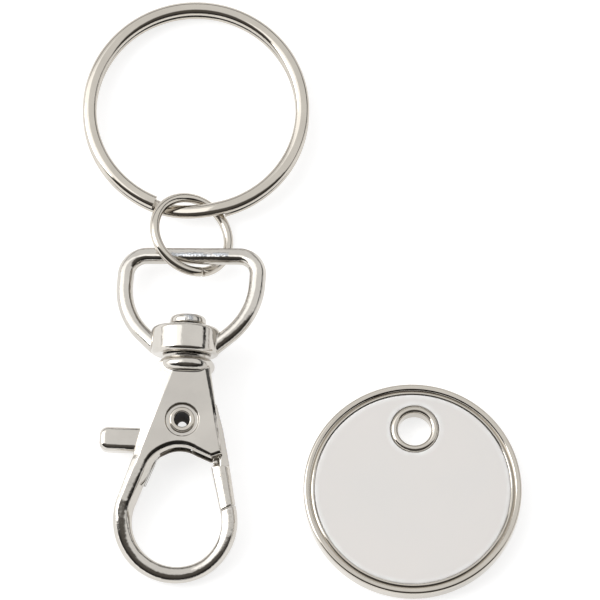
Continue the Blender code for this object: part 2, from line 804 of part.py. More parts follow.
def pocket_outline():
    """The open side of the lever, over the coil and the spring's two legs."""
    coil = SPRING_COIL_RADIUS + SPRING_WIRE / 2 + SPRING_TO_WALL
    low = thumb_bottom_y() - OVERRUN
    left = SPRING_KNEE_X - SPRING_WIRE - SPRING_TO_WALL
    right = LEVER_SPINE_INNER_X + SPRING_WIRE
    top = arc((0, 0), coil, 0, math.radians(170), ROUND_STEPS // 2)
    return top + [(left, thumb_bottom_y()), (left, low), (right, low), (right, LEVER_SPINE_INNER_Y)]


def build_gate_lever(frame):
    """The lever lies in the frame of its rivet, about which it turns."""
    lever = plate("gate_lever", lever_outline(), LEVER_HALF_THICKNESS, frame)
    middle = LEVER_FLOOR_THICKNESS - LEVER_HALF_THICKNESS
    half = (LEVER_HALF_THICKNESS + OVERRUN - middle) / 2
    place = Matrix.Translation((0, 0, middle + half))
    combine(lever, plate("spring_pocket_cut", pocket_outline(), half, frame, place), "DIFFERENCE")
    inner_top, outer_top = gate_arm_top()
    inner_tip, outer_tip = gate_tip()
    arm = []
    for i in range(GATE_ARM_STEPS + 1):
        share = i / GATE_ARM_STEPS
        arm.append(hook_ring(inner_top.lerp(inner_tip, share), outer_top.lerp(outer_tip, share)))
    combine(lever, loft("gate_arm", arm, frame), "UNION")
    combine(lever, thumb_pad(frame), "UNION")
    bore = RIVET_SHANK_DIAMETER / 2 + RIVET_FIT
    combine(lever, cylinder("lever_bore", bore, LEVER_HALF_THICKNESS + OVERRUN, frame), "DIFFERENCE")
    finish_piece(lever, NICKEL)
    return lever


def thumb_outline():
    """The pad from above: two round corners at its free end, and a root along the body's side."""
    bottom = thumb_bottom_y()
    corner = THUMB_CORNER_RADIUS
    middle_x = THUMB_TIP_X + corner
    upper = arc((middle_x, THUMB_TOP_Y - corner), corner, math.pi / 2, math.pi, 6)
    lower = arc((middle_x, bottom + corner), corner, math.pi, math.pi * 3 / 2, 6)
    return upper + lower + [(thumb_root_x(bottom), bottom), (thumb_root_x(THUMB_TOP_Y), THUMB_TOP_Y)]


def thumb_pad(frame):
    """The arm's free end, a flat bar with rounded edges."""
    pad = plate("thumb_pad", thumb_outline(), THUMB_HALF_THICKNESS, frame)
    round_edges(pad, THUMB_ROUNDING, 3, math.radians(50))
    return pad


# Torsion spring

def spring_fixed_leg():
    """The knee and the end of the leg that rests in the body's groove."""
    return Vector((SPRING_KNEE_X, SPRING_KNEE_Y)), Vector((SPRING_END_X, SPRING_END_Y))


def spring_points():
    """The fixed leg up to the coil, the coil clockwise round the rivet, and the leg to the gate."""
    count = math.ceil(SPRING_TURN_STEPS * SPRING_SWEEP / (2 * math.pi))
    coil = []
    for i in range(count + 1):
        swept = SPRING_SWEEP * i / count
        angle = SPRING_FIXED_TURN - swept
        height = SPRING_START_Z + SPRING_PITCH * swept / (2 * math.pi)
        around = SPRING_COIL_RADIUS * Vector((math.cos(angle), math.sin(angle)))
        coil.append(Vector((*around, height)))
    knee, end = spring_fixed_leg()
    start = [end.to_3d(), knee.to_3d()]
    for place in start:
        place.z = SPRING_START_Z
    last = coil[-1]
    way = Vector((last.y, -last.x, 0)).normalized()
    reach = (SPRING_GATE_END_Y - last.y) / way.y
    return start + coil + [last + way * reach]


def build_gate_spring(frame):
    points = spring_points()
    spring = mesh_from_curve(wire("gate_spring", points, SPRING_WIRE, 1, frame))
    spring.name = "gate_spring"
    finish_piece(spring, SPRING_STEEL)
    gap = least_coil_gap(points[2:-1], SPRING_WIRE, SPRING_TURN_STEPS // 2)
    print(f"gate spring: least gap between its turns {gap * 1000:.3f} mm")
    return spring


# Coin

def rim_profile(height, side):
    """From the coin's outer edge over the bead and the lip down to the recess, on one face."""
    radius = COIN_DIAMETER / 2
    rounding = COIN_BEAD_ROUNDING
    recess = COIN_FRONT_RECESS if side > 0 else COIN_BACK_RECESS
    bead_end = radius - COIN_BEAD_WIDTH
    land_end = radius - rounding - COIN_BEAD_LAND
    lip = radius - COIN_RIM_WIDTH
    outer = arc((radius - rounding, height - rounding), rounding, 0, math.pi / 2, 3)
    points = outer + [
        (land_end, height),
        (bead_end, height - COIN_GROOVE_DEPTH),
        ((bead_end + lip) / 2, height - COIN_LIP_DROP),
        (lip, height - COIN_LIP_DROP),
        (lip, height - recess),
    ]
    return [(r, h * side) for r, h in points]


def coin_profile():
    half = COIN_THICKNESS / 2
    front = [(0, half - COIN_FRONT_RECESS)] + list(reversed(rim_profile(half, 1)))
    return front + rim_profile(half, -1) + [(0, COIN_BACK_RECESS - half)]


def eyelet_profile():
    """The eyelet's section: straight hole wall, rounded top and bottom."""
    hole = EYELET_HOLE_DIAMETER / 2
    half_width = (EYELET_OUTER_DIAMETER / 2 - hole) / 2
    half = COIN_THICKNESS / 2
    middle = hole + half_width
    top = arc((middle, half - half_width), half_width, math.pi, 0, 6)
    bottom = arc((middle, half_width - half), half_width, 0, -math.pi, 6)
    return top + bottom


def eyelet_offset():
    """From the coin's middle to the eyelet's, which stands off the rim."""
    return COIN_DIAMETER / 2 - COIN_RIM_WIDTH - EYELET_TO_RIM - EYELET_OUTER_DIAMETER / 2


def build_coin(matrix, parent):
    frame = make_empty("coin_frame", matrix, parent)
    eyelet = Matrix.Translation((0, eyelet_offset(), 0))
    coin = turned("coin_body", coin_profile(), COIN_STEPS, frame)
    middle = (EYELET_OUTER_DIAMETER + EYELET_HOLE_DIAMETER) / 4
    combine(coin, cylinder("eyelet_seat_cut", middle, COIN_THICKNESS, frame, eyelet), "DIFFERENCE")
    combine(coin, turned("eyelet", eyelet_profile(), EYELET_STEPS, frame, eyelet), "UNION")
    finish_piece(coin, NICKEL)
    build_inlay(frame, eyelet)
    return coin


def build_inlay(frame, eyelet):
    radius = COIN_DIAMETER / 2 - COIN_RIM_WIDTH - INLAY_CLEARANCE
    floor = COIN_THICKNESS / 2 - COIN_FRONT_RECESS + INLAY_CLEARANCE
    top = floor + INLAY_THICKNESS
    inlay = turned("coin_inlay", [(0, top), (radius, top), (radius, floor), (0, floor)], COIN_STEPS, frame)
    hole = EYELET_OUTER_DIAMETER / 2 + INLAY_CLEARANCE
    combine(inlay, cylinder("inlay_hole_cut", hole, COIN_THICKNESS, frame, eyelet), "DIFFERENCE")
    finish_piece(inlay, ENAMEL, 0, 0.35)


# How it lies

def lowest_of_collar(slope):
    """How far the collar reaches below its middle, lying at this slope."""
    radius = COLLAR_DIAMETER / 2 - COLLAR_ROUNDING
    half = COLLAR_HEIGHT / 2 - COLLAR_ROUNDING
    return radius * math.cos(slope) + half * math.sin(slope) + COLLAR_ROUNDING


def clasp_pitch():
    """The clasp rests on its collar and on the end of its hook. The collar's reach follows its pitch."""
    span = collar_center_y() - hook_bottom_y()
    lean = math.atan2(HOOK_END_HALF_DEPTH, span)
    pitch = 0
    for _ in range(PITCH_ROUNDS):
        pitch = math.asin(lowest_of_collar(pitch) / math.hypot(span, HOOK_END_HALF_DEPTH)) - lean
    return pitch


def clasp_matrix():
    pitch = clasp_pitch()
    height = HOOK_END_HALF_DEPTH * math.cos(pitch) - hook_bottom_y() * math.sin(pitch)
    return Matrix.Translation((0, 0, height)) @ Matrix.Rotation(pitch, 4, "X")


def swivel_matrix():
    return clasp_matrix() @ Matrix.Translation((STEM_X, collar_center_y(), 0))


def collar_shift():
    """The collar lies to one side of its stem, within its play."""
    return Matrix.Translation((-COLLAR_SIDE_SHIFT, 0, 0))


def bow_turn():
    """The bow is cast at a slight droop and lean to its collar, and is rolled about its own length."""
    droop = collar_shift() @ Matrix.Rotation(EYE_SLOPE - clasp_pitch(), 4, "X")
    return droop @ Matrix.Rotation(-EYE_LEAN, 4, "Z") @ Matrix.Rotation(-EYE_ROLL, 4, "Y")


def eye_matrix():
    return swivel_matrix() @ bow_turn()


def bar_matrix():
    """The frame of the D's straight bar, its X along the bar."""
    return eye_matrix() @ Matrix.Translation((0, EYE_REACH, 0))


def jump_matrix():
    """The jump ring's own frame, its Z square to its plane. The bar lies against its lower inside."""
    turn = Matrix.Rotation(-JUMP_PITCH, 4, "X") @ Matrix.Rotation(JUMP_TILT, 4, "Y")
    seat = bar_matrix() @ Vector((BAR_SEAT_X, 0, 0))
    reach = jump_radius() - (JUMP_WIRE + EYE_WIRE) / 2 - BAR_SEAT_CLEARANCE
    inside = turn @ Vector((reach * math.cos(BAR_SEAT_ANGLE), reach * math.sin(BAR_SEAT_ANGLE), 0))
    return Matrix.Translation(seat - inside) @ turn


def split_matrix():
    """The split ring hangs in the jump ring's upper inside and its far side lies on the table."""
    reach = jump_radius() - (JUMP_WIRE + RING_WIRE_WIDTH) / 2 - RING_SEAT_CLEARANCE
    seat = Vector((reach * math.cos(RING_SEAT_ANGLE), reach * math.sin(RING_SEAT_ANGLE), RING_SEAT_Z))
    near = jump_matrix() @ seat
    far_height = (ring_pitch() + RING_WIRE_HEIGHT) / 2
    slope = math.asin((near.z - far_height) / (2 * ring_length_radius()))
    return Matrix.Translation(near) @ Matrix.Rotation(-slope, 4, "X")


def world_box(pieces):
    depsgraph = bpy.context.evaluated_depsgraph_get()
    low = Vector((math.inf, math.inf, math.inf))
    high = -low
    for piece in pieces:
        shape = piece.evaluated_get(depsgraph)
        for vertex in shape.data.vertices:
            place = shape.matrix_world @ vertex.co
            low = Vector(map(min, low, place))
            high = Vector(map(max, high, place))
    return low, high


def report(name, matrix, root, local_axis):
    place = root.matrix_world @ matrix
    axis = (place.to_3x3() @ Vector(local_axis)).normalized()
    at = [round(value, 6) for value in place.translation]
    print(f"{name}: at {at}, axis {[round(value, 6) for value in axis]}")


def build():
    root = make_empty("keyring", Matrix.Identity(4))
    clasp = make_empty("clasp_frame", clasp_matrix(), root)
    gate = make_empty("gate_pivot", Matrix.Identity(4), clasp)
    build_clasp_body(clasp)
    build_pivot_rivet(clasp)
    build_gate_spring(clasp)
    build_gate_lever(gate)
    build_swivel_eye(swivel_matrix(), root)
    build_jump_ring(bar_matrix(), root, jump_matrix())
    build_split_ring(split_matrix(), root)
    coin = Matrix.Translation((COIN_X, COIN_Y, COIN_THICKNESS / 2))
    build_coin(coin, root)
    pieces = [piece for piece in PARTS.objects if piece.type == "MESH"]
    low, high = world_box(pieces)
    root.location = (-(low.x + high.x) / 2, -(low.y + high.y) / 2, -low.z)
    bpy.context.view_layer.update()
    print("size in mm:", [round(value * 1000, 3) for value in high - low])
    print("lowest before it is set down, in mm:", round(low.z * 1000, 3))
    report("gate", clasp_matrix(), root, (0, 0, 1))
    report("swivel", swivel_matrix(), root, (0, 1, 0))
    report("jump ring on the bar", bar_matrix(), root, (1, 0, 0))
    report("split ring in the jump ring", split_matrix(), root, (1, 0, 0))
    report("coin", coin, root, (0, 0, 1))


build()
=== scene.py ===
"""Dresses the coin holder keyring: bright nickel wire and castings, satin enamel, studio and camera.

Lengths are in metres. Each piece is made in its own frame, as the part's are, and set into the row's frame.
"""

import json
from math import asin, atan2, copysign, cos, degrees, pi, radians, sin, sqrt, tan

import bmesh
import bpy
from mathutils import Matrix, Vector


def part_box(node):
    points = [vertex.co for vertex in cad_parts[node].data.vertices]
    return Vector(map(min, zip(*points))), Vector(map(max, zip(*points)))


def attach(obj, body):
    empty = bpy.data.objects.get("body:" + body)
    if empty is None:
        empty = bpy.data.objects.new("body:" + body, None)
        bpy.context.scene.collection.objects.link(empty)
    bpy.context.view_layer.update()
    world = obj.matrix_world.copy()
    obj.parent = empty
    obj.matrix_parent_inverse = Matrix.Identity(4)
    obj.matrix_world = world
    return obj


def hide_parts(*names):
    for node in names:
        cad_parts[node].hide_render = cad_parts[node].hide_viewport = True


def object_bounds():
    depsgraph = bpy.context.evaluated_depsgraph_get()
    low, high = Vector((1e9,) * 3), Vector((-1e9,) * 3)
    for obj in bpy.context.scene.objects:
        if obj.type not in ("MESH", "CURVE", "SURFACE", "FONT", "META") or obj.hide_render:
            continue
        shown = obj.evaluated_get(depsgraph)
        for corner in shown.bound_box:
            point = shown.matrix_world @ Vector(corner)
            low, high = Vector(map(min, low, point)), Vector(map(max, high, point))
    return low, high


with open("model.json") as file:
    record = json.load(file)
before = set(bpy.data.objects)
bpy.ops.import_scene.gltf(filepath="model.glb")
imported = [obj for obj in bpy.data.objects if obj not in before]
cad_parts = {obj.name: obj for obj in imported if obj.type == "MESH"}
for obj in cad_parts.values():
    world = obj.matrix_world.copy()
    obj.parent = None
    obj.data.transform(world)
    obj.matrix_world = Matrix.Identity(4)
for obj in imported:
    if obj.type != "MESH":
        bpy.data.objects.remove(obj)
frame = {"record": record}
CAD_BOX = [list(corner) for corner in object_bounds()]
JOINTS = frame["record"]["behaviour"]["joints"]
GATE_JOINT = next(joint for joint in JOINTS if joint["name"] == "gate_hinge")

# Split ring
RING_OUTER_DIAMETER = 0.0245
RING_LENGTH_SHARE = 1.014
RING_WIRE_WIDTH = 0.0015
RING_RADIUS = (RING_OUTER_DIAMETER - RING_WIRE_WIDTH) / 2
RING_LENGTH_RADIUS = RING_RADIUS * RING_LENGTH_SHARE
RING_CAD_WIRE_HEIGHT = 0.00084
RING_CAD_GAP = 0.00044
RING_COIL_TOUCH = 0.00004
# The coils lie on each other, and together are as high as the part's
RING_WIRE_HEIGHT = (2 * RING_CAD_WIRE_HEIGHT + RING_CAD_GAP - RING_COIL_TOUCH) / 2
RING_WIRE_SQUARENESS = 0.97
RING_UPPER_END = -0.0041 / RING_RADIUS
RING_LOWER_END = 0.0035 / RING_RADIUS

# Jump ring
JUMP_OUTER_DIAMETER = 0.0098
JUMP_WIRE = 0.00105
JUMP_RADIUS = (JUMP_OUTER_DIAMETER - JUMP_WIRE) / 2
JUMP_END_GAP = 0.00012
JUMP_END_STEP = 0.00014
JUMP_GAP_ANGLE = radians(-72)
JUMP_END_ROUNDING = JUMP_WIRE / 8

# Swivel eye
COLLAR_DIAMETER = 0.0073
COLLAR_HEIGHT = 0.00305
COLLAR_ROUNDING = 0.0005
COLLAR_PLAY = 0.00045
COLLAR_SHIFT = Matrix.Translation((-0.0002, 0, 0))
EYE_WIRE = 0.0018
EYE_OUTER_WIDTH = 0.0163
EYE_REACH = 0.0098
EYE_CORNER_RADIUS = 0.0022
EYE_SIDE_RADIUS = 0.00765
EYE_SIDE_STRAIGHT = 0.0011
EYE_ROOT_RISE = 0.0008
EYE_ROOT_OUT = EYE_WIRE / 8
BAR_FLAT_TURN = radians(10)
BAR_FLAT_DEPTH = 0.00009
STREAK_PLACE = (0.0005, EYE_REACH - 0.00012)
# As-cast patches: half length, half width, width of the fading edge and strength
STREAK = (0.0036, 0.00032, 0.00026, 1)

# Clasp body, stem, bead and head
STEM_DIAMETER = 0.003
BORE_RADIUS = STEM_DIAMETER / 2 + COLLAR_PLAY
STEM_X = 0.0002
BEAD_DIAMETER = 0.0061
BEAD_HEIGHT = 0.0016
BEAD_CENTER_Y = 0.0061
BEAD_TO_COLLAR = 0.00037
COLLAR_CENTER_Y = BEAD_CENTER_Y + BEAD_HEIGHT / 2 + BEAD_TO_COLLAR + COLLAR_HEIGHT / 2
BEAD_TOP_ANGLE = radians(75)
NECK_RADIUS = 0.00264
NECK_CLEARANCE = 0.0001
HEAD_DIAMETER = 0.0039
HEAD_HEIGHT = 0.00102
HEAD_ROUNDING = 0.0006
HEAD_DIMPLE_RADIUS = 0.0006
HEAD_DIMPLE_DEPTH = 0.00025
HEAD_SPOT_X = 0.0001
HEAD_SPOT = (0.0006, 0.0005, 0.0003, 0.8)
HEAD_TO_COLLAR = 0.0003
HEAD_BASE_Y = COLLAR_CENTER_Y + COLLAR_HEIGHT / 2 + HEAD_TO_COLLAR
BODY_HALF_DEPTH = 0.0021
BODY_TOP_Y = 0.0058
BODY_START_Y = 0.00632
BODY_TOP_HALF_WIDTH = 0.0028
BODY_LEFT_FLARE = 0.235
BODY_RIGHT_FLARE = 0.175
BODY_FACE_TOP_LEFT = -0.001
BODY_FACE_TOP_RIGHT = 0.0021
BODY_FACE_LEFT_FLARE = 0.35
BODY_FACE_RIGHT_FLARE = 0.225
BODY_SIDE_HALF_DEPTH = 0.0016
RIGHT_BEVEL_WIDTH = 0.00048
RIGHT_BEVEL_DROP = 0.00031
ARCH_RADIUS = 0.00325
ARCH_CENTER_Y = -0.00613
BODY_RIGHT_END_Y = -0.0037
CHAMFER_SLOPE = tan(radians(35))
ROUNDING_SLOPE = tan(radians(62))
ARCH_SHAPE = (
    # Angle, width of the chamfer, width of the steep rounding below it
    (60, 0.00034, 0.00014),
    (90, 0.0004, 0.00018),
    (120, 0.0004, 0.00025),
    (140, 0.00038, 0.0004),
    (161.5, 0.00033, 0.00058),
)
FOOT_EDGE = ((0.0052, -0.00318), (0.00325, -0.00396))
FOOT_SHAPE = (0.00028, 0.0001)
BODY_LOW_Y = -0.0054
BODY_SINK_Y = -0.0043
BODY_SINK_SLOPE = 0.06
BODY_INSET_SLOPE = 0.03
LEG_SHAPE = (
    # Height, half depth, half depth of the side, bevel, chamfer, steep rounding
    (-0.0037, 0.0021, 0.0016, 0.0007, 0.00038, 0.00054),
    (-0.005, 0.00209, 0.00172, 0.00055, 0.00038, 0.00056),
    (-0.0065, 0.00206, 0.00172, 0.00046, 0.00034, 0.00056),
    (-0.009, 0.00195, 0.00163, 0.00042, 0.00036, 0.0006),
)
HOOK_SHAPE = (
    # Angle, half depth, share of the leg's section, share of the gate's section
    (161.5, 0.00195, 1, 0),
    (170, 0.00183, 0.7, 0),
    (180, 0.00169, 0.2, 0),
    (190, 0.00152, 0, 0),
    (200, 0.00136, 0, 0),
    (225, 0.00103, 0, 0),
    (250, 0.00085, 0, 0),
    (270, 0.00081, 0, 0),
    (290, 0.00085, 0, 0),
    (305, 0.00096, 0, 0),
    (320, 0.00115, 0, 0.1),
    (335, 0.0013, 0, 0.4),
    (345, 0.0014, 0, 0.7),
    (376, 0.00155, 0, 1),
)
HOOK_REST_DEPTH = 0.001084
HOOK_REST_Y = -0.0164
DOME_TO_SEAM = 0.0001
GATE_FRONT = (
    # Share of the width, height above the gate's front
    (0, -0.00055), (0.06, -0.0003), (0.42, -0.00003), (0.71, 0), (0.79, -0.0001), (1, -0.0007),
)
GATE_HALF_DEPTH = 0.00165
HOOK_OUTER_RADIUS = 0.00662
HOOK_WIDTH = 0.00187
HOOK_CENTER = Vector((-0.0003, -0.0107))
HOOK_INNER_SHIFT = Vector((0.00016, -0.0001))
HOOK_LEG_LEAN = radians(18.5)
HOOK_LEG_TOP_Y = -0.0039

# Gate lever
GATE_TIP_INNER_ANGLE = radians(16.1)
GATE_TIP_OUTER_ANGLE = radians(17.3)
GATE_ARM_INNER = Vector((0.00328, -0.00485))
GATE_ARM_OUTER = Vector((0.00525, -0.00465))
GATE_TO_HOOK = 0.00016
LEVER_HUB_RADIUS = 0.00215
LEVER_HALF_THICKNESS = 0.001
LEVER_SHOULDER_Y = 0.00245
LEVER_SPINE_TOP_X = 0.00365
LEVER_SPINE_MID = (0.00445, -0.00093)
LEVER_SPINE_INNER = (0.003, -0.0028)
LEVER_FLOOR_THICKNESS = 0.0006
LEVER_TO_SLOT = 0.0003
LEVER_CROWN_START = radians(65)
LEVER_BELLY = (radians(-50), radians(-100))
POCKET_SWEEP = radians(170)
SLOT_CROWN = (radians(75), radians(140))
THUMB_TIP_X = -0.00872
THUMB_TO_BODY = 0.0003
THUMB_TOP_Y = -0.00095
THUMB_WIDTH = 0.00235
THUMB_BOTTOM_Y = THUMB_TOP_Y - THUMB_WIDTH
THUMB_HALF_THICKNESS = 0.0012
THUMB_ROUNDING = 0.00065
THUMB_CORNER_RADIUS = 0.0009
THUMB_PAD_EXTRA = 0.00013
THUMB_PAD_INTO_SLOT = 0.0016
NECK_X = 0.0042
NECK_TOP_Y = -0.0035
LUG_PLACE = Vector((0.00372, -0.00424))
LUG_RADIUS = 0.00029
LUG_TOP = 0.00085
THUMB_HEEL_X = -0.0022
THUMB_TO_STOP = 0.00025
GATE_OPENING = radians(25)

# Hollow rivet
RIVET_HOLE_DIAMETER = 0.0016
RIVET_BACK_HOLE_DIAMETER = 0.00096
RIVET_SHANK_DIAMETER = 0.0021
RIVET_FLANGE_DIAMETER = 0.0027
RIVET_FLANGE_HEIGHT = 0.00035
RIVET_FIT = 0.00015
RIVET_STAND_OUT = 0.0001
COUNTERBORE_DIAMETER = 0.0036

# Torsion spring
SPRING_WIRE = 0.00026
SPRING_END_ROUNDING = SPRING_WIRE / 6
SPRING_COIL_RADIUS = 0.00145
SPRING_PITCH = 0.00068
SPRING_START_Z = -0.00002
SPRING_FIXED_TURN = radians(158)
SPRING_SWEEP = radians(523)
SPRING_KNEE = Vector((-0.00272, -0.0045))
SPRING_END = Vector((-0.00366, -0.00715))
SPRING_END_Z = 0.00098
SPRING_GATE_END_Y = -0.0031
SPRING_TO_WALL = 0.0003
GROOVE_LEAD_SHARE = 0.4

# Coin
COIN_DIAMETER = 0.02325
COIN_THICKNESS = 0.0022
COIN_RIM_WIDTH = 0.00112
COIN_BEAD_WIDTH = 0.00078
COIN_BEAD_LAND = 0.00026
COIN_BEAD_ROUNDING = 0.0003
COIN_GROOVE_DEPTH = 0.00022
COIN_LIP_DROP = 0.0001
COIN_FRONT_RECESS = 0.00062
COIN_BACK_RECESS = 0.0004
EYELET_TO_RIM = 0.001275
EYELET_OUTER_DIAMETER = 0.00516
EYELET_HOLE_DIAMETER = 0.00355
EYELET_OFFSET = COIN_DIAMETER / 2 - COIN_RIM_WIDTH - EYELET_TO_RIM - EYELET_OUTER_DIAMETER / 2
INLAY_THICKNESS = 0.0003
INLAY_CLEARANCE = 0.0001
INLAY_GRAIN = 0.0001
CLIMB_WIDTH = 0.0006

# Where the pieces lie
EYE_SLOPE = radians(-2.8)
EYE_ROLL = radians(11.9)
EYE_LEAN = radians(2.7)
JUMP_TILT = radians(24.3)
JUMP_PITCH = radians(9.96)
BAR_SEAT_X = -0.00063
BAR_SEAT_ANGLE = radians(262.9)
BAR_SEAT_CLEARANCE = 0.00026
RING_SEAT_Z = -0.00016
RING_SEAT_ANGLE = radians(91.3)
RING_SEAT_CLEARANCE = 0.00029

# How finely the pieces are made
OVERRUN = 0.0008
WELD = 0.000002
UP = Vector((0, 0, 1))
ROUND_STEPS = 96
RING_STEPS = 400
JUMP_STEPS = 160
HOOK_STEPS = 120
SPRING_STEPS = 120
ARCH_STEPS = 48
EYE_ARC_STEPS = 40
LEVER_CROWN_STEPS = 32
CROWN_STEPS = 24
BODY_STEPS = 24
EYELET_STEPS = 20
BELLY_STEPS = 16
ROLL_STEPS = 14
LEG_STEPS = 12
HEAD_STEPS = 12
EDGE_STEPS = 10
SMALL_EDGE_STEPS = 8
SECTION_POINTS = 28
SPRING_POINTS = 14
BAR_POINTS = 52
END_TURNS = [radians(turn) for turn in (30, 60, 90)]
CAST_GRAIN = 0.00006
CAST_FLOW = 0.5
CAST_SMOOTHING = 5
SHARP_WIRE = radians(60)
SHARP_BAND = radians(50)
SHARP_COIN = radians(28)

# The photograph's camera, from the point under the rivet
CAMERA_TARGET = Vector((0.0120487, 0.0150714, 0))
CAMERA_ELEVATION = radians(72.8)
CAMERA_DISTANCE = 0.8
CAMERA_ROLL = radians(2.2)
CAMERA_LENS = 446.4
CAMERA_CLIP = (0.01, 10)

# The studio: a pale tent with a window on the left, a grey seam overhead, a dark strip on the right and
# the dark room behind the camera. Each edge is a pair of places where its light begins and ends.
WHITE = (1, 1, 1, 1)
TENT = (1.0, 1.0, 1.0, 1)
WINDOW = (1.8, 1.8, 1.8, 1)
WINDOW_LOW = (1.5, 1.5, 1.5, 1)
WINDOW_EDGE = (-0.20, -0.27)
WINDOW_BACK = (0.66, 0.46)
WINDOW_FOOT = (0, 0.15)
HORIZON = (0.78, 0.76, 0.73, 1)
HORIZON_BAND = (0, 0.1)
ROOM_LOW = (0.015, 0.014, 0.013, 1)
ROOM_HIGH = (0.13, 0.12, 0.11, 1)
ROOM_RISE = (0.35, 1)
ROOM_EDGE = (-0.02, -0.22)
ROOM_FOOT = (0.16, 0.30)
ROOM_BEARING = (radians(82), radians(74))
STRIP_NEAR = (radians(59), radians(62))
STRIP_FAR = (radians(73), radians(70))
SEAM = (0.22, 0.21, 0.20, 1)
SEAM_NEAR = (radians(62), radians(65))
SEAM_FAR = (radians(76), radians(72))
LAMP_PLACE = Vector((-0.6, 0.05, 0.45))
LAMP_SIZE = 0.5
LAMP_ENERGY = 2.4
FLOOR = (0.5, 0.5, 0.5, 1)
FLOOR_HALF = 1.2
FLOOR_ROUGHNESS = 0.9
FLOOR_SHEEN = 0.1
FLOOR_LIFTS = (("Is Camera Ray", 0.72), ("Is Glossy Ray", 0.75), ("Is Transmission Ray", 0.75))

# Surfaces: a noise is its scale and detail, a finish is colour, roughness, relief and the waves' noise
NOISE_LIMITS = (0.3, 0.7)
WIRE_FINISH = ((0.60, 0.56, 0.50, 1), (0.06, 0.12), 0.2, (1500, 2))
CASTING_FINISH = ((0.61, 0.58, 0.535, 1), (0.09, 0.17), 0.55, (2400, 2))
WAVE_DEPTH = 0.00003
TARNISH = 0.9
TARNISH_NOISE = (260, 3)
GLOSS_NOISE = (900, 4)
SPECKLE_NOISE = (5200, 3)
AS_CAST_COLOR = (0.50, 0.52, 0.55, 1)
AS_CAST_ROUGHNESS = (0.12, 0.42)
AS_CAST_RELIEF = 3
RAGGED_NOISE = (2600, 2)
RAGGED_SHARE = (0.3, 1.3)
RAGGED_LIMITS = (0.35, 0.55)
# The rivet's bore: painted shade in dark browns, where it lies in shadow
BORE_NOISE = (1500, 3)
BORE_SHADE_COLORS = ((0.11, 0.095, 0.08, 1), (0.06, 0.05, 0.042, 1))
BORE_METALLIC = 0.6
BORE_ROUGHNESS = 0.5
ENAMEL_NOISE = (120, 2)
ENAMEL_COLORS = ((0.795, 0.763, 0.735, 1), (0.775, 0.753, 0.729, 1))
ENAMEL_EDGE_COLOR = (0.87, 0.865, 0.85, 1)
ENAMEL_GLOSS_NOISE = (700, 3)
ENAMEL_ROUGHNESS = (0.34, 0.44)
CLIMB_NOISE = (900, 2)
CLIMB_SHARE = (0.4, 1.6)
SPRING_NOISE = (2500, 3)
SPRING_COLOR = (0.74, 0.73, 0.71, 1)
SPRING_ROUGHNESS = (0.16, 0.3)


# Helpers

def add_object(name, data, matrix=None):
    made = bpy.data.objects.new(name, data)
    bpy.context.scene.collection.objects.link(made)
    made.matrix_world = matrix or Matrix.Identity(4)
    return made


def drop(obj):
    bpy.data.objects.remove(obj, do_unlink=True)


def settled(obj):
    """The object with its modifiers applied and its place put into its mesh."""
    bpy.context.view_layer.update()
    depsgraph = bpy.context.evaluated_depsgraph_get()
    mesh = bpy.data.meshes.new_from_object(obj.evaluated_get(depsgraph))
    mesh.transform(obj.matrix_world)
    name = obj.name
    drop(obj)
    mesh.name = name
    return add_object(name, mesh)


def combined(target, cuts=(), joins=()):
    """The target less the cuts and then with the joins, which are used up."""
    tools = [("DIFFERENCE", cut) for cut in cuts] + [("UNION", join) for join in joins]
    for operation, tool in tools:
        modifier = target.modifiers.new(tool.name, "BOOLEAN")
        modifier.operation = operation
        modifier.solver = "EXACT"
        modifier.object = tool
    made = settled(target)
    for _, tool in tools:
        drop(tool)
    return made


def meshed(name, shape, matrix=None):
    mesh = bpy.data.meshes.new(name)
    shape.to_mesh(mesh)
    shape.free()
    return add_object(name, mesh, matrix)


def together(*pieces):
    """The pieces as one mesh of overlapping shells, for cast() to fuse."""
    shape = bmesh.new()
    name = pieces[0].name
    for piece in [settled(piece) for piece in pieces]:
        shape.from_mesh(piece.data)
        drop(piece)
    return meshed(name, shape)


def remeshed(obj, grain):
    """Adds an even skin over all the object's shells."""
    remesh = obj.modifiers.new("skin", "REMESH")
    remesh.mode = "VOXEL"
    remesh.voxel_size = grain
    return obj


def cast(obj, matrix):
    """Flows a casting's edges and joints together, as plating does, and sets it in place."""
    smooth = remeshed(obj, CAST_GRAIN).modifiers.new("flow", "SMOOTH")
    smooth.factor = CAST_FLOW
    smooth.iterations = CAST_SMOOTHING
    made = settled(obj)
    made.data.transform(matrix)
    return shade(made)


def weld(shape):
    bmesh.ops.remove_doubles(shape, verts=shape.verts, dist=WELD)
    bmesh.ops.recalc_face_normals(shape, faces=shape.faces)


def shade(obj, angle=None):
    obj.data.shade_smooth()
    if angle is not None:
        obj.data.set_sharp_from_angle(angle=angle)
    return obj


def moved(x, y, z=0):
    return Matrix.Translation((x, y, z))


def spaced(start, end, steps):
    return [start + (end - start) * i / steps for i in range(steps + 1)]


def polar(radius, angle, center=(0, 0)):
    return center[0] + radius * cos(angle), center[1] + radius * sin(angle)


def arc(center, radius, start, end, steps):
    turn = (end - start) / steps
    return [polar(radius, start + turn * i, center) for i in range(steps + 1)]


def turned(name, profile, matrix=None, steps=ROUND_STEPS):
    """A profile of (radius, height) points, closed or from axis to axis, turned about Z."""
    closed = profile[0][0] > 0
    shape = bmesh.new()
    rows = []
    for i in range(steps):
        x, y = polar(1, 2 * pi * i / steps)
        rows.append([shape.verts.new((r * x, r * y, h)) for r, h in profile])
    count = len(profile)
    for i, row in enumerate(rows):
        following = rows[(i + 1) % steps]
        for j in range(count if closed else count - 1):
            k = (j + 1) % count
            shape.faces.new((row[j], row[k], following[k], following[j]))
    weld(shape)
    return meshed(name, shape, matrix)


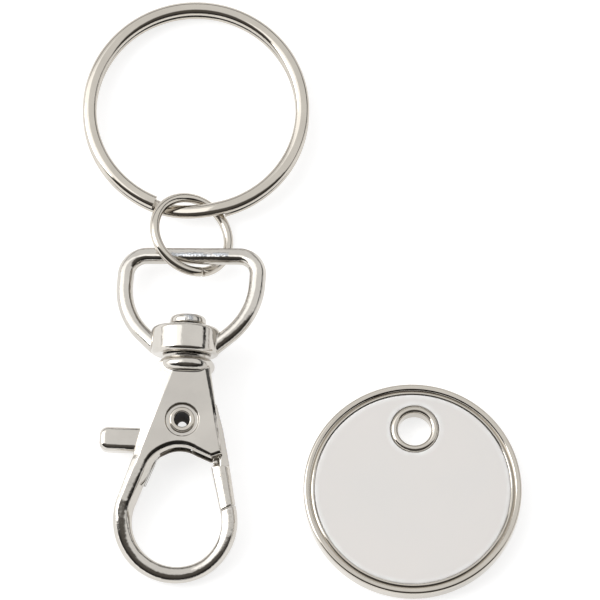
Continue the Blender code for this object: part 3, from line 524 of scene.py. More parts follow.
def cylinder(name, radius, half_height, matrix=None):
    profile = [(0, half_height), (radius, half_height), (radius, -half_height), (0, -half_height)]
    return turned(name, profile, matrix)


def plate(name, outline, half_thickness, matrix=None):
    curve = bpy.data.curves.new(name, "CURVE")
    spline = curve.splines.new("POLY")
    spline.points.add(len(outline) - 1)
    for place, point in zip(spline.points, outline):
        place.co = (*point, 0, 1)
    spline.use_cyclic_u = True
    curve.dimensions = "2D"
    curve.fill_mode = "BOTH"
    curve.extrude = half_thickness
    made = settled(add_object(name, curve, matrix))
    shape = bmesh.new()
    shape.from_mesh(made.data)
    drop(made)
    weld(shape)
    return meshed(name, shape)


def loft(name, rings, matrix=None):
    """A closed skin over rings with the same number of points, with flat ends."""
    shape = bmesh.new()
    rows = [[shape.verts.new(point) for point in ring] for ring in rings]
    for row, following in zip(rows, rows[1:]):
        for i in range(len(row)):
            j = (i + 1) % len(row)
            shape.faces.new((row[i], row[j], following[j], following[i]))
    shape.faces.new(rows[0])
    shape.faces.new(rows[-1])
    bmesh.ops.recalc_face_normals(shape, faces=shape.faces)
    return meshed(name, shape, matrix)


def stations(path):
    """Each place of a path with the ways ahead and across there."""
    last = len(path) - 1
    for i, place in enumerate(path):
        ahead = (path[min(i + 1, last)] - path[max(i - 1, 0)]).normalized()
        yield place, ahead, ahead.cross(UP).normalized()


def swept(name, path, section, matrix, sharp, end_rounding=0):
    """A section of (across, along up) points carried along a path, its ends eased in by end_rounding."""
    rings = []
    for place, ahead, across in stations(path):
        upward = across.cross(ahead)
        rings.append([place + across * x + upward * z for x, z in section])
    if end_rounding:
        rings = eased_ends(path, rings, end_rounding)
    return shade(settled(loft(name, rings, matrix)), sharp)


def eased_ends(path, rings, rounding):
    """Adds rings that shrink towards each end, so that the cut has a small rounded edge."""
    def eased(ring, place, away):
        made = []
        for turn in END_TURNS:
            inset = rounding * (1 - cos(turn))
            reach = rounding * sin(turn)
            made.append([point + (place - point).normalized() * inset + away * reach for point in ring])
        return made
    start = eased(rings[0], path[0], (path[0] - path[1]).normalized())
    end = eased(rings[-1], path[-1], (path[-1] - path[-2]).normalized())
    return list(reversed(start)) + rings + end


def circle(radius, points=SECTION_POINTS):
    return [polar(radius, 2 * pi * i / points) for i in range(points)]


# The frames of the pieces, as the part has them. The clasp's has its origin on the rivet and its Z out of
# its front. The bow droops and leans a little to its collar, and is rolled about its own length.

UPRIGHT = Matrix.Rotation(-pi / 2, 4, "X")
FRONT = Vector(GATE_JOINT["axis"])
SIDE = Vector((1, 0, 0))
CLASP_TURN = Matrix((SIDE, FRONT.cross(SIDE), FRONT)).transposed().to_4x4()
CLASP_PLACE = Matrix.Translation(GATE_JOINT["pos_m"]) @ CLASP_TURN
CLASP_PITCH = atan2(-FRONT.y, FRONT.z)
SWIVEL_PLACE = CLASP_PLACE @ moved(STEM_X, COLLAR_CENTER_Y)
BOW_DROOP = COLLAR_SHIFT @ Matrix.Rotation(EYE_SLOPE - CLASP_PITCH, 4, "X")
BOW_TURN = BOW_DROOP @ Matrix.Rotation(-EYE_LEAN, 4, "Z") @ Matrix.Rotation(-EYE_ROLL, 4, "Y")
EYE_PLACE = SWIVEL_PLACE @ BOW_TURN
COIN_LOW, COIN_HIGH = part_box("coin_body")
COIN_PLACE = Matrix.Translation((COIN_LOW + COIN_HIGH) / 2)
EYELET_PLACE = COIN_PLACE @ moved(0, EYELET_OFFSET)
TABLE_Z = COIN_LOW.z


def jump_place():
    turn = Matrix.Rotation(-JUMP_PITCH, 4, "X") @ Matrix.Rotation(JUMP_TILT, 4, "Y")
    seat = EYE_PLACE @ moved(0, EYE_REACH) @ Vector((BAR_SEAT_X, 0, 0))
    reach = JUMP_RADIUS - (JUMP_WIRE + EYE_WIRE) / 2 - BAR_SEAT_CLEARANCE
    inside = turn @ Vector((*polar(reach, BAR_SEAT_ANGLE), 0))
    return Matrix.Translation(seat - inside) @ turn


def ring_place():
    reach = JUMP_RADIUS - (JUMP_WIRE + RING_WIRE_WIDTH) / 2 - RING_SEAT_CLEARANCE
    near = jump_place() @ Vector((*polar(reach, RING_SEAT_ANGLE), RING_SEAT_Z))
    far_height = (2 * RING_CAD_WIRE_HEIGHT + RING_CAD_GAP) / 2 + TABLE_Z
    slope = asin((near.z - far_height) / (2 * RING_LENGTH_RADIUS))
    return Matrix.Translation(near) @ Matrix.Rotation(-slope, 4, "X")


# Split ring

def ring_point(turn):
    start = 2 * pi + RING_UPPER_END
    climb = min(1, max(0, (turn - start) / (RING_LOWER_END - RING_UPPER_END)))
    height = (RING_WIRE_HEIGHT + RING_COIL_TOUCH) * (climb * climb * (3 - 2 * climb) - 1 / 2)
    angle = turn - pi / 2
    return Vector((RING_RADIUS * cos(angle), RING_LENGTH_RADIUS * sin(angle), height))


def wire_section():
    """The flattened wire's outline, domed on all sides."""
    outline = []
    for i in range(SECTION_POINTS):
        turn = 2 * pi * (i + 1 / 2) / SECTION_POINTS
        across = copysign(abs(cos(turn)) ** RING_WIRE_SQUARENESS, cos(turn))
        upward = copysign(abs(sin(turn)) ** RING_WIRE_SQUARENESS, sin(turn))
        outline.append((across * RING_WIRE_WIDTH / 2, upward * RING_WIRE_HEIGHT / 2))
    return outline


def make_split_ring():
    turns = spaced(RING_LOWER_END, 4 * pi + RING_UPPER_END, RING_STEPS)
    path = [ring_point(turn) + Vector((0, RING_LENGTH_RADIUS, 0)) for turn in turns]
    return swept("split_ring_wire", path, wire_section(), ring_place(), SHARP_BAND)


# Jump ring

def make_jump_ring():
    half_gap = (JUMP_END_GAP + JUMP_WIRE / 4) / JUMP_RADIUS / 2
    first = JUMP_GAP_ANGLE + half_gap
    sweep = 2 * pi - 2 * half_gap
    path = []
    for share in spaced(0, 1, JUMP_STEPS):
        height = JUMP_END_STEP * (share - 1 / 2)
        path.append(Vector((*polar(JUMP_RADIUS, first + sweep * share), height)))
    return swept("jump_ring_wire", path, circle(JUMP_WIRE / 2), jump_place(), SHARP_WIRE, JUMP_END_ROUNDING)


# Swivel eye

def collar_profile():
    radius = COLLAR_DIAMETER / 2
    half = COLLAR_HEIGHT / 2
    rounding = COLLAR_ROUNDING
    inset = radius - rounding
    top = arc((inset, half - rounding), rounding, pi / 2, 0, EDGE_STEPS)
    bottom = arc((inset, rounding - half), rounding, 0, -pi / 2, EDGE_STEPS)
    return top + bottom + [(BORE_RADIUS, -half), (BORE_RADIUS, half)]


def eye_path():
    half_width = (EYE_OUTER_WIDTH - EYE_WIRE) / 2
    corner_y = EYE_REACH - EYE_CORNER_RADIUS
    side_center = (half_width - EYE_SIDE_RADIUS, corner_y - EYE_SIDE_STRAIGHT)
    low = -asin((side_center[1] - EYE_ROOT_RISE) / EYE_SIDE_RADIUS)
    side = arc(side_center, EYE_SIDE_RADIUS, low, 0, EYE_ARC_STEPS)
    corner_center = (half_width - EYE_CORNER_RADIUS, corner_y)
    corner = arc(corner_center, EYE_CORNER_RADIUS, 0, pi / 2, EYE_ARC_STEPS)
    root_x = (BORE_RADIUS + COLLAR_DIAMETER / 2) / 2 + EYE_ROOT_OUT
    run = (side[0][0] - root_x) / sin(-low)
    root = (root_x, side[0][1] - run * cos(low))
    right = [root] + side + corner
    left = [(-x, y) for x, y in reversed(right)]
    return [Vector((x, y, 0)) for x, y in right + left]


def flattened(section, share):
    """A round section with a flat along its front, as deep as the share says."""
    way = Vector((sin(BAR_FLAT_TURN), cos(BAR_FLAT_TURN)))
    level = EYE_WIRE / 2 - BAR_FLAT_DEPTH * share
    made = []
    for point in section:
        place = Vector(point)
        place -= way * max(0, place.dot(way) - level)
        made.append(tuple(place))
    return made


def make_bow():
    bar_end = EYE_OUTER_WIDTH / 2 - EYE_CORNER_RADIUS
    rings = []
    for place, _, across in stations(eye_path()):
        beyond = max(abs(place.x) - bar_end, 0) / EYE_CORNER_RADIUS
        share = max(0, 1 - beyond * 2) if place.y > EYE_REACH / 2 else 0
        section = flattened(circle(EYE_WIRE / 2), share)
        rings.append([place + across * x + UP * z for x, z in section])
    return loft("eye_bow", rings, BOW_TURN)


def mark_as_cast(piece, matrix, half_length, half_width, edge, strength):
    """Writes where a front was left as cast: a patch round the matrix's origin, weaker towards its edge."""
    place = matrix.inverted()
    marked = piece.data.attributes.new("as_cast", "FLOAT", "POINT")
    for i, vertex in enumerate(piece.data.vertices):
        spot = place @ vertex.co
        inside = min(half_length - abs(spot.x), half_width - abs(spot.y))
        if spot.z > 0 and inside > 0:
            marked.data[i].value = strength * min(1, inside / edge)


def make_swivel_eye():
    eye = turned("swivel_eye_casting", collar_profile(), COLLAR_SHIFT @ UPRIGHT)
    eye = cast(combined(eye, joins=[make_bow()]), SWIVEL_PLACE)
    mark_as_cast(eye, EYE_PLACE @ moved(*STREAK_PLACE), *STREAK)
    return eye


# Clasp body

def between(table, place):
    """The values at this place, from rows of (place, *values)."""
    for (start, *first), (end, *last) in zip(table, table[1:]):
        share = max(0, (place - start) / (end - start))
        if share <= 1:
            return [a + (b - a) * share for a, b in zip(first, last)]
    return list(table[-1][1:])


def domed_front(width, depth):
    """Height of a round front at each share of the bar's width."""
    rise = min(width / 2, depth - DOME_TO_SEAM)
    return lambda share: depth - rise + 2 * rise * sqrt(max(0, share - share * share))


def rest_depth(y):
    """How far below the clasp's middle the table lies."""
    return HOOK_REST_DEPTH + (y - HOOK_REST_Y) * tan(abs(CLASP_PITCH))


def leg_front(width, depth, side, bevel, chamfer, rounding):
    """Height of the leg's front: a steep rounding and a chamfer inside, a flat crown, a bevel outside."""
    low = depth - chamfer * CHAMFER_SLOPE
    corners = ((0, low - rounding * ROUNDING_SLOPE), (rounding, low), (rounding + chamfer, depth),
               (width - bevel, depth), (width, side))
    return lambda share: between(corners, share * width)[0]


def gate_front(depth):
    return lambda share: depth + between(GATE_FRONT, share)[0]


def bar_ring(inner, outer, fronts, backs=None):
    """A bar's section between two points, from (weight, front) pairs. Its back keeps off the table."""
    ring = []
    for i in range(BAR_POINTS):
        turn = 2 * pi * (i + 1 / 2) / BAR_POINTS
        share = (1 + cos(turn)) / 2
        place = inner.lerp(outer, share)
        at_front = sin(turn) > 0
        faces = fronts if at_front else backs or fronts
        height = sum(weight * face(share) for weight, face in faces)
        ring.append((place.x, place.y, height if at_front else -min(height, rest_depth(place.y))))
    return ring


def stem_profile():
    stem = STEM_DIAMETER / 2
    head = HEAD_DIAMETER / 2
    base = HEAD_BASE_Y
    top = base + HEAD_HEIGHT
    bead_tube = BEAD_HEIGHT / 2
    bead_inset = BEAD_DIAMETER / 2 - bead_tube
    rounding = HEAD_ROUNDING
    dimple = [(0, top - HEAD_DIMPLE_DEPTH), (HEAD_DIMPLE_RADIUS / 2, top - HEAD_DIMPLE_DEPTH * 3 / 4),
              (HEAD_DIMPLE_RADIUS, top)]
    crown = arc((head - rounding, top - rounding), rounding, pi / 2, 0, HEAD_STEPS)
    foot = [(head, base + rounding / 4), (head - rounding / 4, base), (stem, base)]
    bead = arc((bead_inset, BEAD_CENTER_Y), bead_tube, BEAD_TOP_ANGLE, -pi / 2, CROWN_STEPS)
    collar_low = BEAD_CENTER_Y + bead_tube + BEAD_TO_COLLAR
    neck = [(stem, collar_low - NECK_CLEARANCE), (NECK_RADIUS, collar_low - NECK_CLEARANCE)]
    root = BODY_TOP_Y - BEAD_HEIGHT
    end = [(stem, root), (0, root)]
    return dimple + crown + foot + neck + bead + [(stem, BEAD_CENTER_Y - bead_tube)] + end


def hook_outer(angle):
    return HOOK_CENTER + HOOK_OUTER_RADIUS * Vector(polar(1, angle))


def hook_inner(angle):
    radius = HOOK_OUTER_RADIUS - HOOK_WIDTH
    return HOOK_CENTER + HOOK_INNER_SHIFT + radius * Vector(polar(1, angle))


def hook_ring(inner, outer, angle):
    depth, leg_share, gate_share = between(HOOK_SHAPE, degrees(angle))
    width = (outer - inner).length
    middle_y = (inner.y + outer.y) / 2
    _, *leg = between(LEG_SHAPE, middle_y)
    leg_side = leg_share, leg_front(width, depth, *leg)
    gate_side = gate_share, gate_front(depth)
    round_share = 1 - leg_share - gate_share
    back = domed_front(width, rest_depth(middle_y))
    return bar_ring(inner, outer, (leg_side, gate_side, (round_share, domed_front(width, depth))),
                    (leg_side, gate_side, (round_share, back)))


def leg_ring(inner, outer):
    width = (outer - inner).length
    depth, _, _, chamfer, rounding = between(LEG_SHAPE, inner.y)
    _, side, bevel, _, _ = between(LEG_SHAPE, outer.y)
    return bar_ring(inner, outer, [(1, leg_front(width, depth, side, bevel, chamfer, rounding))])


def gate_tip():
    return hook_inner(GATE_TIP_INNER_ANGLE), hook_outer(GATE_TIP_OUTER_ANGLE)


def leg_inner_top():
    lean = HOOK_LEG_LEAN
    return Vector((-ARCH_RADIUS * cos(lean), ARCH_CENTER_Y + ARCH_RADIUS * sin(lean)))


def leg_outer_x(y):
    touch = hook_outer(pi - HOOK_LEG_LEAN)
    return touch.x + (y - touch.y) * tan(HOOK_LEG_LEAN)


def body_ring(y):
    """The casting's section: flat faces, a wide bevel on the left and a narrow one on the right."""
    drop_below_top = BODY_TOP_Y - y
    left = -BODY_TOP_HALF_WIDTH - BODY_LEFT_FLARE * drop_below_top
    face_left = BODY_FACE_TOP_LEFT - BODY_FACE_LEFT_FLARE * drop_below_top
    depth, side = BODY_HALF_DEPTH, BODY_SIDE_HALF_DEPTH
    if y < BODY_RIGHT_END_Y:
        depth, side, bevel, _, _ = between(LEG_SHAPE, y)
        sink = max(0, BODY_SINK_Y - y)
        depth -= sink * BODY_SINK_SLOPE
        left = max(left, leg_outer_x(y)) + sink * BODY_INSET_SLOPE
        face_left = left + bevel
    right = BODY_TOP_HALF_WIDTH + BODY_RIGHT_FLARE * drop_below_top
    face_right = BODY_FACE_TOP_RIGHT + BODY_FACE_RIGHT_FLARE * drop_below_top
    edge = min(face_right + RIGHT_BEVEL_WIDTH, right)
    low = depth - RIGHT_BEVEL_DROP
    front = [(face_left, y, depth), (face_right, y, depth), (edge, y, low), (right, y, side)]
    back = [(right, y, -side), (edge, y, -low), (face_right, y, -depth), (face_left, y, -depth)]
    return front + back + [(left, y, -side), (left, y, side)]


def hook_rings():
    start = pi - HOOK_LEG_LEAN
    end = 2 * pi + GATE_TIP_INNER_ANGLE
    inner_low, outer_low = hook_inner(start), hook_outer(start)
    inner_top = leg_inner_top()
    outer_top = Vector((leg_outer_x(HOOK_LEG_TOP_Y), HOOK_LEG_TOP_Y))
    rings = []
    for share in spaced(0, 1, LEG_STEPS)[:-1]:
        rings.append(leg_ring(inner_top.lerp(inner_low, share), outer_top.lerp(outer_low, share)))
    for angle in spaced(start, end, HOOK_STEPS)[:-1]:
        rings.append(hook_ring(hook_inner(angle), hook_outer(angle), angle))
    inner, outer = gate_tip()
    along = (outer - inner).normalized()
    step = Vector((-along.y, along.x)) * GATE_TO_HOOK
    return rings + [hook_ring(inner - step, outer - step, end)]


def opening_edge():
    """The opening's edge from the foot over the arch to the leg: point, way out, chamfer, rounding."""
    far, near = (Vector(place) for place in FOOT_EDGE)
    rise = Vector((near.y - far.y, far.x - near.x)).normalized()
    edge = [(far, rise, *FOOT_SHAPE), (near, (rise + Vector((0, 1))).normalized(), *FOOT_SHAPE)]
    last = pi - HOOK_LEG_LEAN
    for angle in spaced(radians(ARCH_SHAPE[0][0]), last, ARCH_STEPS):
        way = Vector(polar(1, angle))
        point = Vector((0, ARCH_CENTER_Y)) + way * ARCH_RADIUS
        edge.append((point, way, *between(ARCH_SHAPE, degrees(angle))))
    top, low = leg_inner_top(), hook_inner(last)
    along = (low - top).normalized()
    for share in spaced(0, 1, LEG_STEPS)[1:LEG_STEPS // 2]:
        edge.append((top.lerp(low, share), Vector((along.y, -along.x)), *ARCH_SHAPE[-1][1:]))
    return edge


def arch_outline():
    """The opening, run on below the body."""
    edge = [tuple(point) for point, _, _, _ in opening_edge()]
    low = BODY_LOW_Y - OVERRUN
    return edge + [(edge[-1][0], low), (edge[0][0], low)]


def chamfer_cut(name, side):
    """Takes the corner off one face along the opening's edge."""
    rings = []
    for point, way, chamfer, rounding in opening_edge():
        low = BODY_HALF_DEPTH - chamfer * CHAMFER_SLOPE
        top = BODY_HALF_DEPTH + OVERRUN * CHAMFER_SLOPE
        corners = [(-OVERRUN, low - (rounding + OVERRUN) * ROUNDING_SLOPE), (rounding, low),
                   (rounding + chamfer + OVERRUN, top), (-OVERRUN, top)]
        places = [(point + way * reach, side * z) for reach, z in corners]
        rings.append([(place.x, place.y, z) for place, z in places])
    return loft(name, rings)


def slot_outline():
    stop = THUMB_BOTTOM_Y - THUMB_TO_STOP
    left = leg_outer_x(stop) - OVERRUN
    right = GATE_ARM_OUTER.x + OVERRUN
    hub = LEVER_HUB_RADIUS + LEVER_TO_SLOT
    swing = GATE_OPENING + atan2(-THUMB_TOP_Y, -left)
    clear = LEVER_TO_SLOT / cos(swing)
    left_top = -left * tan(GATE_OPENING) + THUMB_TOP_Y / cos(GATE_OPENING) + clear
    crown = arc((0, 0), hub, *SLOT_CROWN, CROWN_STEPS)
    shoulder = LEVER_SHOULDER_Y + LEVER_TO_SLOT
    low = BODY_RIGHT_END_Y - OVERRUN
    heel = [(left, stop), (THUMB_HEEL_X, stop), (THUMB_HEEL_X, low)]
    spine = [(right, low), (right, shoulder), (hub, shoulder)]
    return heel + spine + crown + [(left, left_top)]


def spring_groove_rings():
    half = SPRING_WIRE / 2 + SPRING_TO_WALL
    low, high = SPRING_START_Z - half, SPRING_START_Z + half
    reach = SPRING_END - SPRING_KNEE
    across = Vector((-reach.y, reach.x)).normalized()
    rings = []
    for share in (-GROOVE_LEAD_SHARE, GROOVE_LEAD_SHARE):
        place = SPRING_KNEE + reach * share
        wall = place - across * half
        open_side = place + across * ARCH_RADIUS
        rings.append([(*wall, low), (*open_side, low), (*open_side, high), (*wall, high)])
    return rings


def make_clasp_body():
    body = loft("clasp_casting", [body_ring(y) for y in spaced(BODY_START_Y, BODY_LOW_Y, BODY_STEPS)])
    beyond = BODY_HALF_DEPTH + OVERRUN
    cuts = [
        plate("arch_cut", arch_outline(), beyond),
        chamfer_cut("front_chamfer", 1),
        chamfer_cut("back_chamfer", -1),
        plate("slot_cut", slot_outline(), LEVER_HALF_THICKNESS + LEVER_TO_SLOT),
        loft("groove_cut", spring_groove_rings()),
        cylinder("bore", RIVET_SHANK_DIAMETER / 2 + RIVET_FIT, beyond),
    ]
    sink = RIVET_FLANGE_HEIGHT + RIVET_FIT - RIVET_STAND_OUT
    for side in (1, -1):
        at = moved(0, 0, side * (beyond - sink / 2 - OVERRUN / 2))
        cuts.append(cylinder("sink", COUNTERBORE_DIAMETER / 2, (sink + OVERRUN) / 2, at))
    hook = loft("hook", hook_rings())
    stem = turned("stem", stem_profile(), moved(STEM_X, 0) @ UPRIGHT)
    body = cast(together(combined(body, cuts), hook, stem), CLASP_PLACE)
    head = moved(STEM_X + HEAD_SPOT_X, HEAD_BASE_Y + HEAD_HEIGHT / 2)
    mark_as_cast(body, CLASP_PLACE @ head, *HEAD_SPOT)
    return body


# Hollow rivet

def make_rivet():
    """A tube with a rolled flange on both faces, drawn in a little at the back."""
    hole = RIVET_HOLE_DIAMETER / 2
    small = RIVET_BACK_HOLE_DIAMETER / 2
    shank = RIVET_SHANK_DIAMETER / 2
    flange = RIVET_FLANGE_DIAMETER / 2
    top = BODY_HALF_DEPTH + RIVET_STAND_OUT
    half = RIVET_FLANGE_HEIGHT / 2
    profile = arc((hole + half, top - half), half, pi, pi / 2, SMALL_EDGE_STEPS)
    profile += arc((flange - half, top - half), half, pi / 2, -pi / 2, ROLL_STEPS)
    profile += [(shank, top - 2 * half), (shank, 2 * half - top)]
    profile += arc((flange - half, half - top), half, pi / 2, -pi / 2, ROLL_STEPS)
    profile += arc((small + half, half - top), half, -pi / 2, -pi, SMALL_EDGE_STEPS)
    profile += [(small, 3 * half - top), (hole, 5 * half - top), (hole, top - 2 * half)]
    rivet = turned("rivet_tube", profile)
    # The bore's inner faces take the second material, a painted shade of dark brown.
    for face in rivet.data.polygons:
        radius = face.center.to_2d().length
        face.material_index = int(radius < hole + half / 4 and face.center.z < top - half)
    rivet.data.transform(CLASP_PLACE)
    return shade(rivet, SHARP_BAND)


# Gate lever

def lever_outline():
    hub = LEVER_HUB_RADIUS
    bottom = THUMB_BOTTOM_Y
    meet = pi - asin(THUMB_TOP_Y / hub)
    crown = arc((0, 0), hub, LEVER_CROWN_START, meet, LEVER_CROWN_STEPS)
    shoulder = (LEVER_SPINE_TOP_X - LEVER_SHOULDER_Y / 5, LEVER_SHOULDER_Y)
    spine = [
        (LEVER_SPINE_TOP_X, LEVER_SHOULDER_Y * 3 / 4),
        LEVER_SPINE_MID,
        tuple(GATE_ARM_OUTER),
        (NECK_X, GATE_ARM_OUTER.y),
        (NECK_X, NECK_TOP_Y),
        LEVER_SPINE_INNER,
    ]
    belly = arc((0, 0), hub, *LEVER_BELLY, BELLY_STEPS)
    root = thumb_root_x(bottom) - THUMB_ROUNDING
    arm = [(THUMB_HEEL_X, bottom), (root, bottom), (root, THUMB_TOP_Y)]
    return list(reversed(crown)) + [shoulder] + spine + belly + arm


def pocket_outline():
    coil = SPRING_COIL_RADIUS + SPRING_WIRE / 2 + SPRING_TO_WALL
    low = THUMB_BOTTOM_Y - OVERRUN
    left = SPRING_KNEE.x - SPRING_WIRE - SPRING_TO_WALL
    right = LEVER_SPINE_INNER[0] + SPRING_WIRE
    top = arc((0, 0), coil, 0, POCKET_SWEEP, ARCH_STEPS)
    return top + [(left, THUMB_BOTTOM_Y), (left, low), (right, low), (right, LEVER_SPINE_INNER[1])]


def thumb_root_x(y):
    return -BODY_TOP_HALF_WIDTH - BODY_LEFT_FLARE * (BODY_TOP_Y - y) - THUMB_TO_BODY


def thumb_pad():
    """The arm's pad, rounded over on both faces."""
    radius, half = THUMB_ROUNDING, THUMB_HALF_THICKNESS
    root = thumb_root_x(THUMB_TOP_Y + THUMB_PAD_EXTRA) + THUMB_PAD_INTO_SLOT
    middle_x = THUMB_TIP_X + THUMB_CORNER_RADIUS
    edge = arc((0, 0), radius, 0, pi / 2, SMALL_EDGE_STEPS)
    front = [(reach, half - (radius - rise)) for reach, rise in edge]
    back = [(reach, -level) for reach, level in reversed(front)]
    rings = []
    for reach, level in back + front:
        inset = radius - reach
        top = THUMB_TOP_Y + THUMB_PAD_EXTRA - inset
        bottom = THUMB_BOTTOM_Y - THUMB_PAD_EXTRA + inset
        corner = THUMB_CORNER_RADIUS - inset
        upper = arc((middle_x, top - corner), corner, pi / 2, pi, CROWN_STEPS)
        lower = arc((middle_x, bottom + corner), corner, pi, pi * 3 / 2, CROWN_STEPS)
        outline = upper + lower + [(root, bottom), (root, top)]
        rings.append([(x, y, level) for x, y in outline])
    return loft("thumb_pad", rings)


def neck_lug():
    """The small round lug beside the lever's neck, on the lever's floor."""
    half = (LUG_TOP + LEVER_HALF_THICKNESS) / 2
    middle = LUG_TOP - half
    edge = LUG_RADIUS / 2
    crown = arc((edge, half - edge), edge, pi / 2, 0, SMALL_EDGE_STEPS)
    profile = [(0, half)] + crown + [(LUG_RADIUS, -half), (0, -half)]
    return turned("lug", profile, moved(*LUG_PLACE, middle))


def lug_floor():
    low, high = GATE_ARM_INNER.y - LUG_RADIUS, NECK_TOP_Y
    left, right = LUG_PLACE.x - LUG_RADIUS, NECK_X + LUG_RADIUS
    half = LEVER_FLOOR_THICKNESS / 2
    at = moved(0, 0, half - LEVER_HALF_THICKNESS)
    return plate("lug_floor", [(left, low), (right, low), (right, high), (left, high)], half, at)


def make_gate():
    lever = plate("gate_casting", lever_outline(), LEVER_HALF_THICKNESS)
    middle = LEVER_FLOOR_THICKNESS - LEVER_HALF_THICKNESS
    half = (LEVER_HALF_THICKNESS + OVERRUN - middle) / 2
    pocket = plate("pocket_cut", pocket_outline(), half, moved(0, 0, middle + half))
    inner_tip, outer_tip = gate_tip()
    rings = []
    for share in spaced(0, 1, LEG_STEPS):
        inner, outer = GATE_ARM_INNER.lerp(inner_tip, share), GATE_ARM_OUTER.lerp(outer_tip, share)
        depth = GATE_HALF_DEPTH + (HOOK_SHAPE[-1][1] - GATE_HALF_DEPTH) * share
        rings.append(bar_ring(inner, outer, [(1, gate_front(depth))]))
    bore = cylinder("lever_bore", RIVET_SHANK_DIAMETER / 2 + RIVET_FIT, LEVER_HALF_THICKNESS + OVERRUN)
    lever = combined(lever, [pocket, bore])
    whole = together(lever, loft("gate_arm", rings), lug_floor(), neck_lug(), thumb_pad())
    return cast(whole, CLASP_PLACE)


# Torsion spring

def make_spring():
    coil = []
    for turn in spaced(0, SPRING_SWEEP, SPRING_STEPS):
        height = SPRING_START_Z + SPRING_PITCH * turn / (2 * pi)
        coil.append(Vector((*polar(SPRING_COIL_RADIUS, SPRING_FIXED_TURN - turn), height)))
    start = [SPRING_END.to_3d(), SPRING_KNEE.to_3d()]
    start[0].z = SPRING_END_Z
    start[1].z = SPRING_START_Z
    last = coil[-1]
    way = Vector((last.y, -last.x, 0)).normalized()
    reach = (SPRING_GATE_END_Y - last.y) / way.y
    path = start + coil + [last + way * reach]
    section = circle(SPRING_WIRE / 2, SPRING_POINTS)
    return swept("spring_wire", path, section, CLASP_PLACE, SHARP_WIRE, SPRING_END_ROUNDING)


# Coin

def rim_profile(height, side):
    radius = COIN_DIAMETER / 2
    rounding = COIN_BEAD_ROUNDING
    recess = COIN_FRONT_RECESS if side > 0 else COIN_BACK_RECESS
    bead_end = radius - COIN_BEAD_WIDTH
    land_end = radius - rounding - COIN_BEAD_LAND
    lip = radius - COIN_RIM_WIDTH
    outer = arc((radius - rounding, height - rounding), rounding, 0, pi / 2, EDGE_STEPS)
    ease = COIN_LIP_DROP / 2
    crest = (bead_end + lip) / 2
    lip_height = height - COIN_LIP_DROP
    points = outer + [
        (land_end, height),
        ((land_end + bead_end) / 2, height - COIN_GROOVE_DEPTH / 3),
        (bead_end, height - COIN_GROOVE_DEPTH),
        (crest + ease, lip_height - ease / 2),
        (crest, lip_height),
        (lip + ease, lip_height - ease / 4),
        (lip, lip_height - ease),
        (lip, height - recess),
    ]
    return [(r, h * side) for r, h in points]


def eyelet_profile():
    hole = EYELET_HOLE_DIAMETER / 2
    half_width = (EYELET_OUTER_DIAMETER / 2 - hole) / 2
    half = COIN_THICKNESS / 2
    middle = hole + half_width
    top = arc((middle, half - half_width), half_width, pi, 0, EYELET_STEPS)
    bottom = arc((middle, half_width - half), half_width, 0, -pi, EYELET_STEPS)
    return top + bottom


def make_coin():
    half = COIN_THICKNESS / 2
    front = [(0, half - COIN_FRONT_RECESS)] + list(reversed(rim_profile(half, 1)))
    profile = front + rim_profile(half, -1) + [(0, COIN_BACK_RECESS - half)]
    coin = turned("coin_metal", profile, COIN_PLACE, 2 * ROUND_STEPS)
    middle = (EYELET_OUTER_DIAMETER + EYELET_HOLE_DIAMETER) / 4
    cut = cylinder("eyelet_cut", middle, COIN_THICKNESS, EYELET_PLACE)
    eyelet = turned("eyelet", eyelet_profile(), EYELET_PLACE)
    return shade(combined(coin, [cut], [eyelet]), SHARP_COIN)


def make_inlay():
    radius = COIN_DIAMETER / 2 - COIN_RIM_WIDTH - INLAY_CLEARANCE / 3
    floor = COIN_THICKNESS / 2 - COIN_FRONT_RECESS + INLAY_CLEARANCE / 3
    top = floor + INLAY_THICKNESS + INLAY_CLEARANCE
    ease = INLAY_THICKNESS / 3
    edge = [(radius - 2 * ease, top), (radius - ease / 2, top - ease / 3), (radius, top - ease)]
    profile = [(0, top)] + edge + [(radius, floor), (0, floor)]
    inlay = turned("coin_enamel", profile, COIN_PLACE, 2 * ROUND_STEPS)
    hole = EYELET_OUTER_DIAMETER / 2 + INLAY_CLEARANCE / 3
    cut = cylinder("inlay_cut", hole, COIN_THICKNESS, EYELET_PLACE)
    inlay = shade(settled(remeshed(combined(inlay, [cut]), INLAY_GRAIN)))
    climb = inlay.data.attributes.new("climb", "FLOAT", "POINT")
    back = COIN_PLACE.inverted()
    for i, vertex in enumerate(inlay.data.vertices):
        spot = (back @ vertex.co).to_2d()
        to_rim = radius - spot.length
        to_eyelet = (spot - Vector((0, EYELET_OFFSET))).length - hole
        climb.data[i].value = max(0, 1 - min(to_rim, to_eyelet) / CLIMB_WIDTH)
    return inlay


# Materials

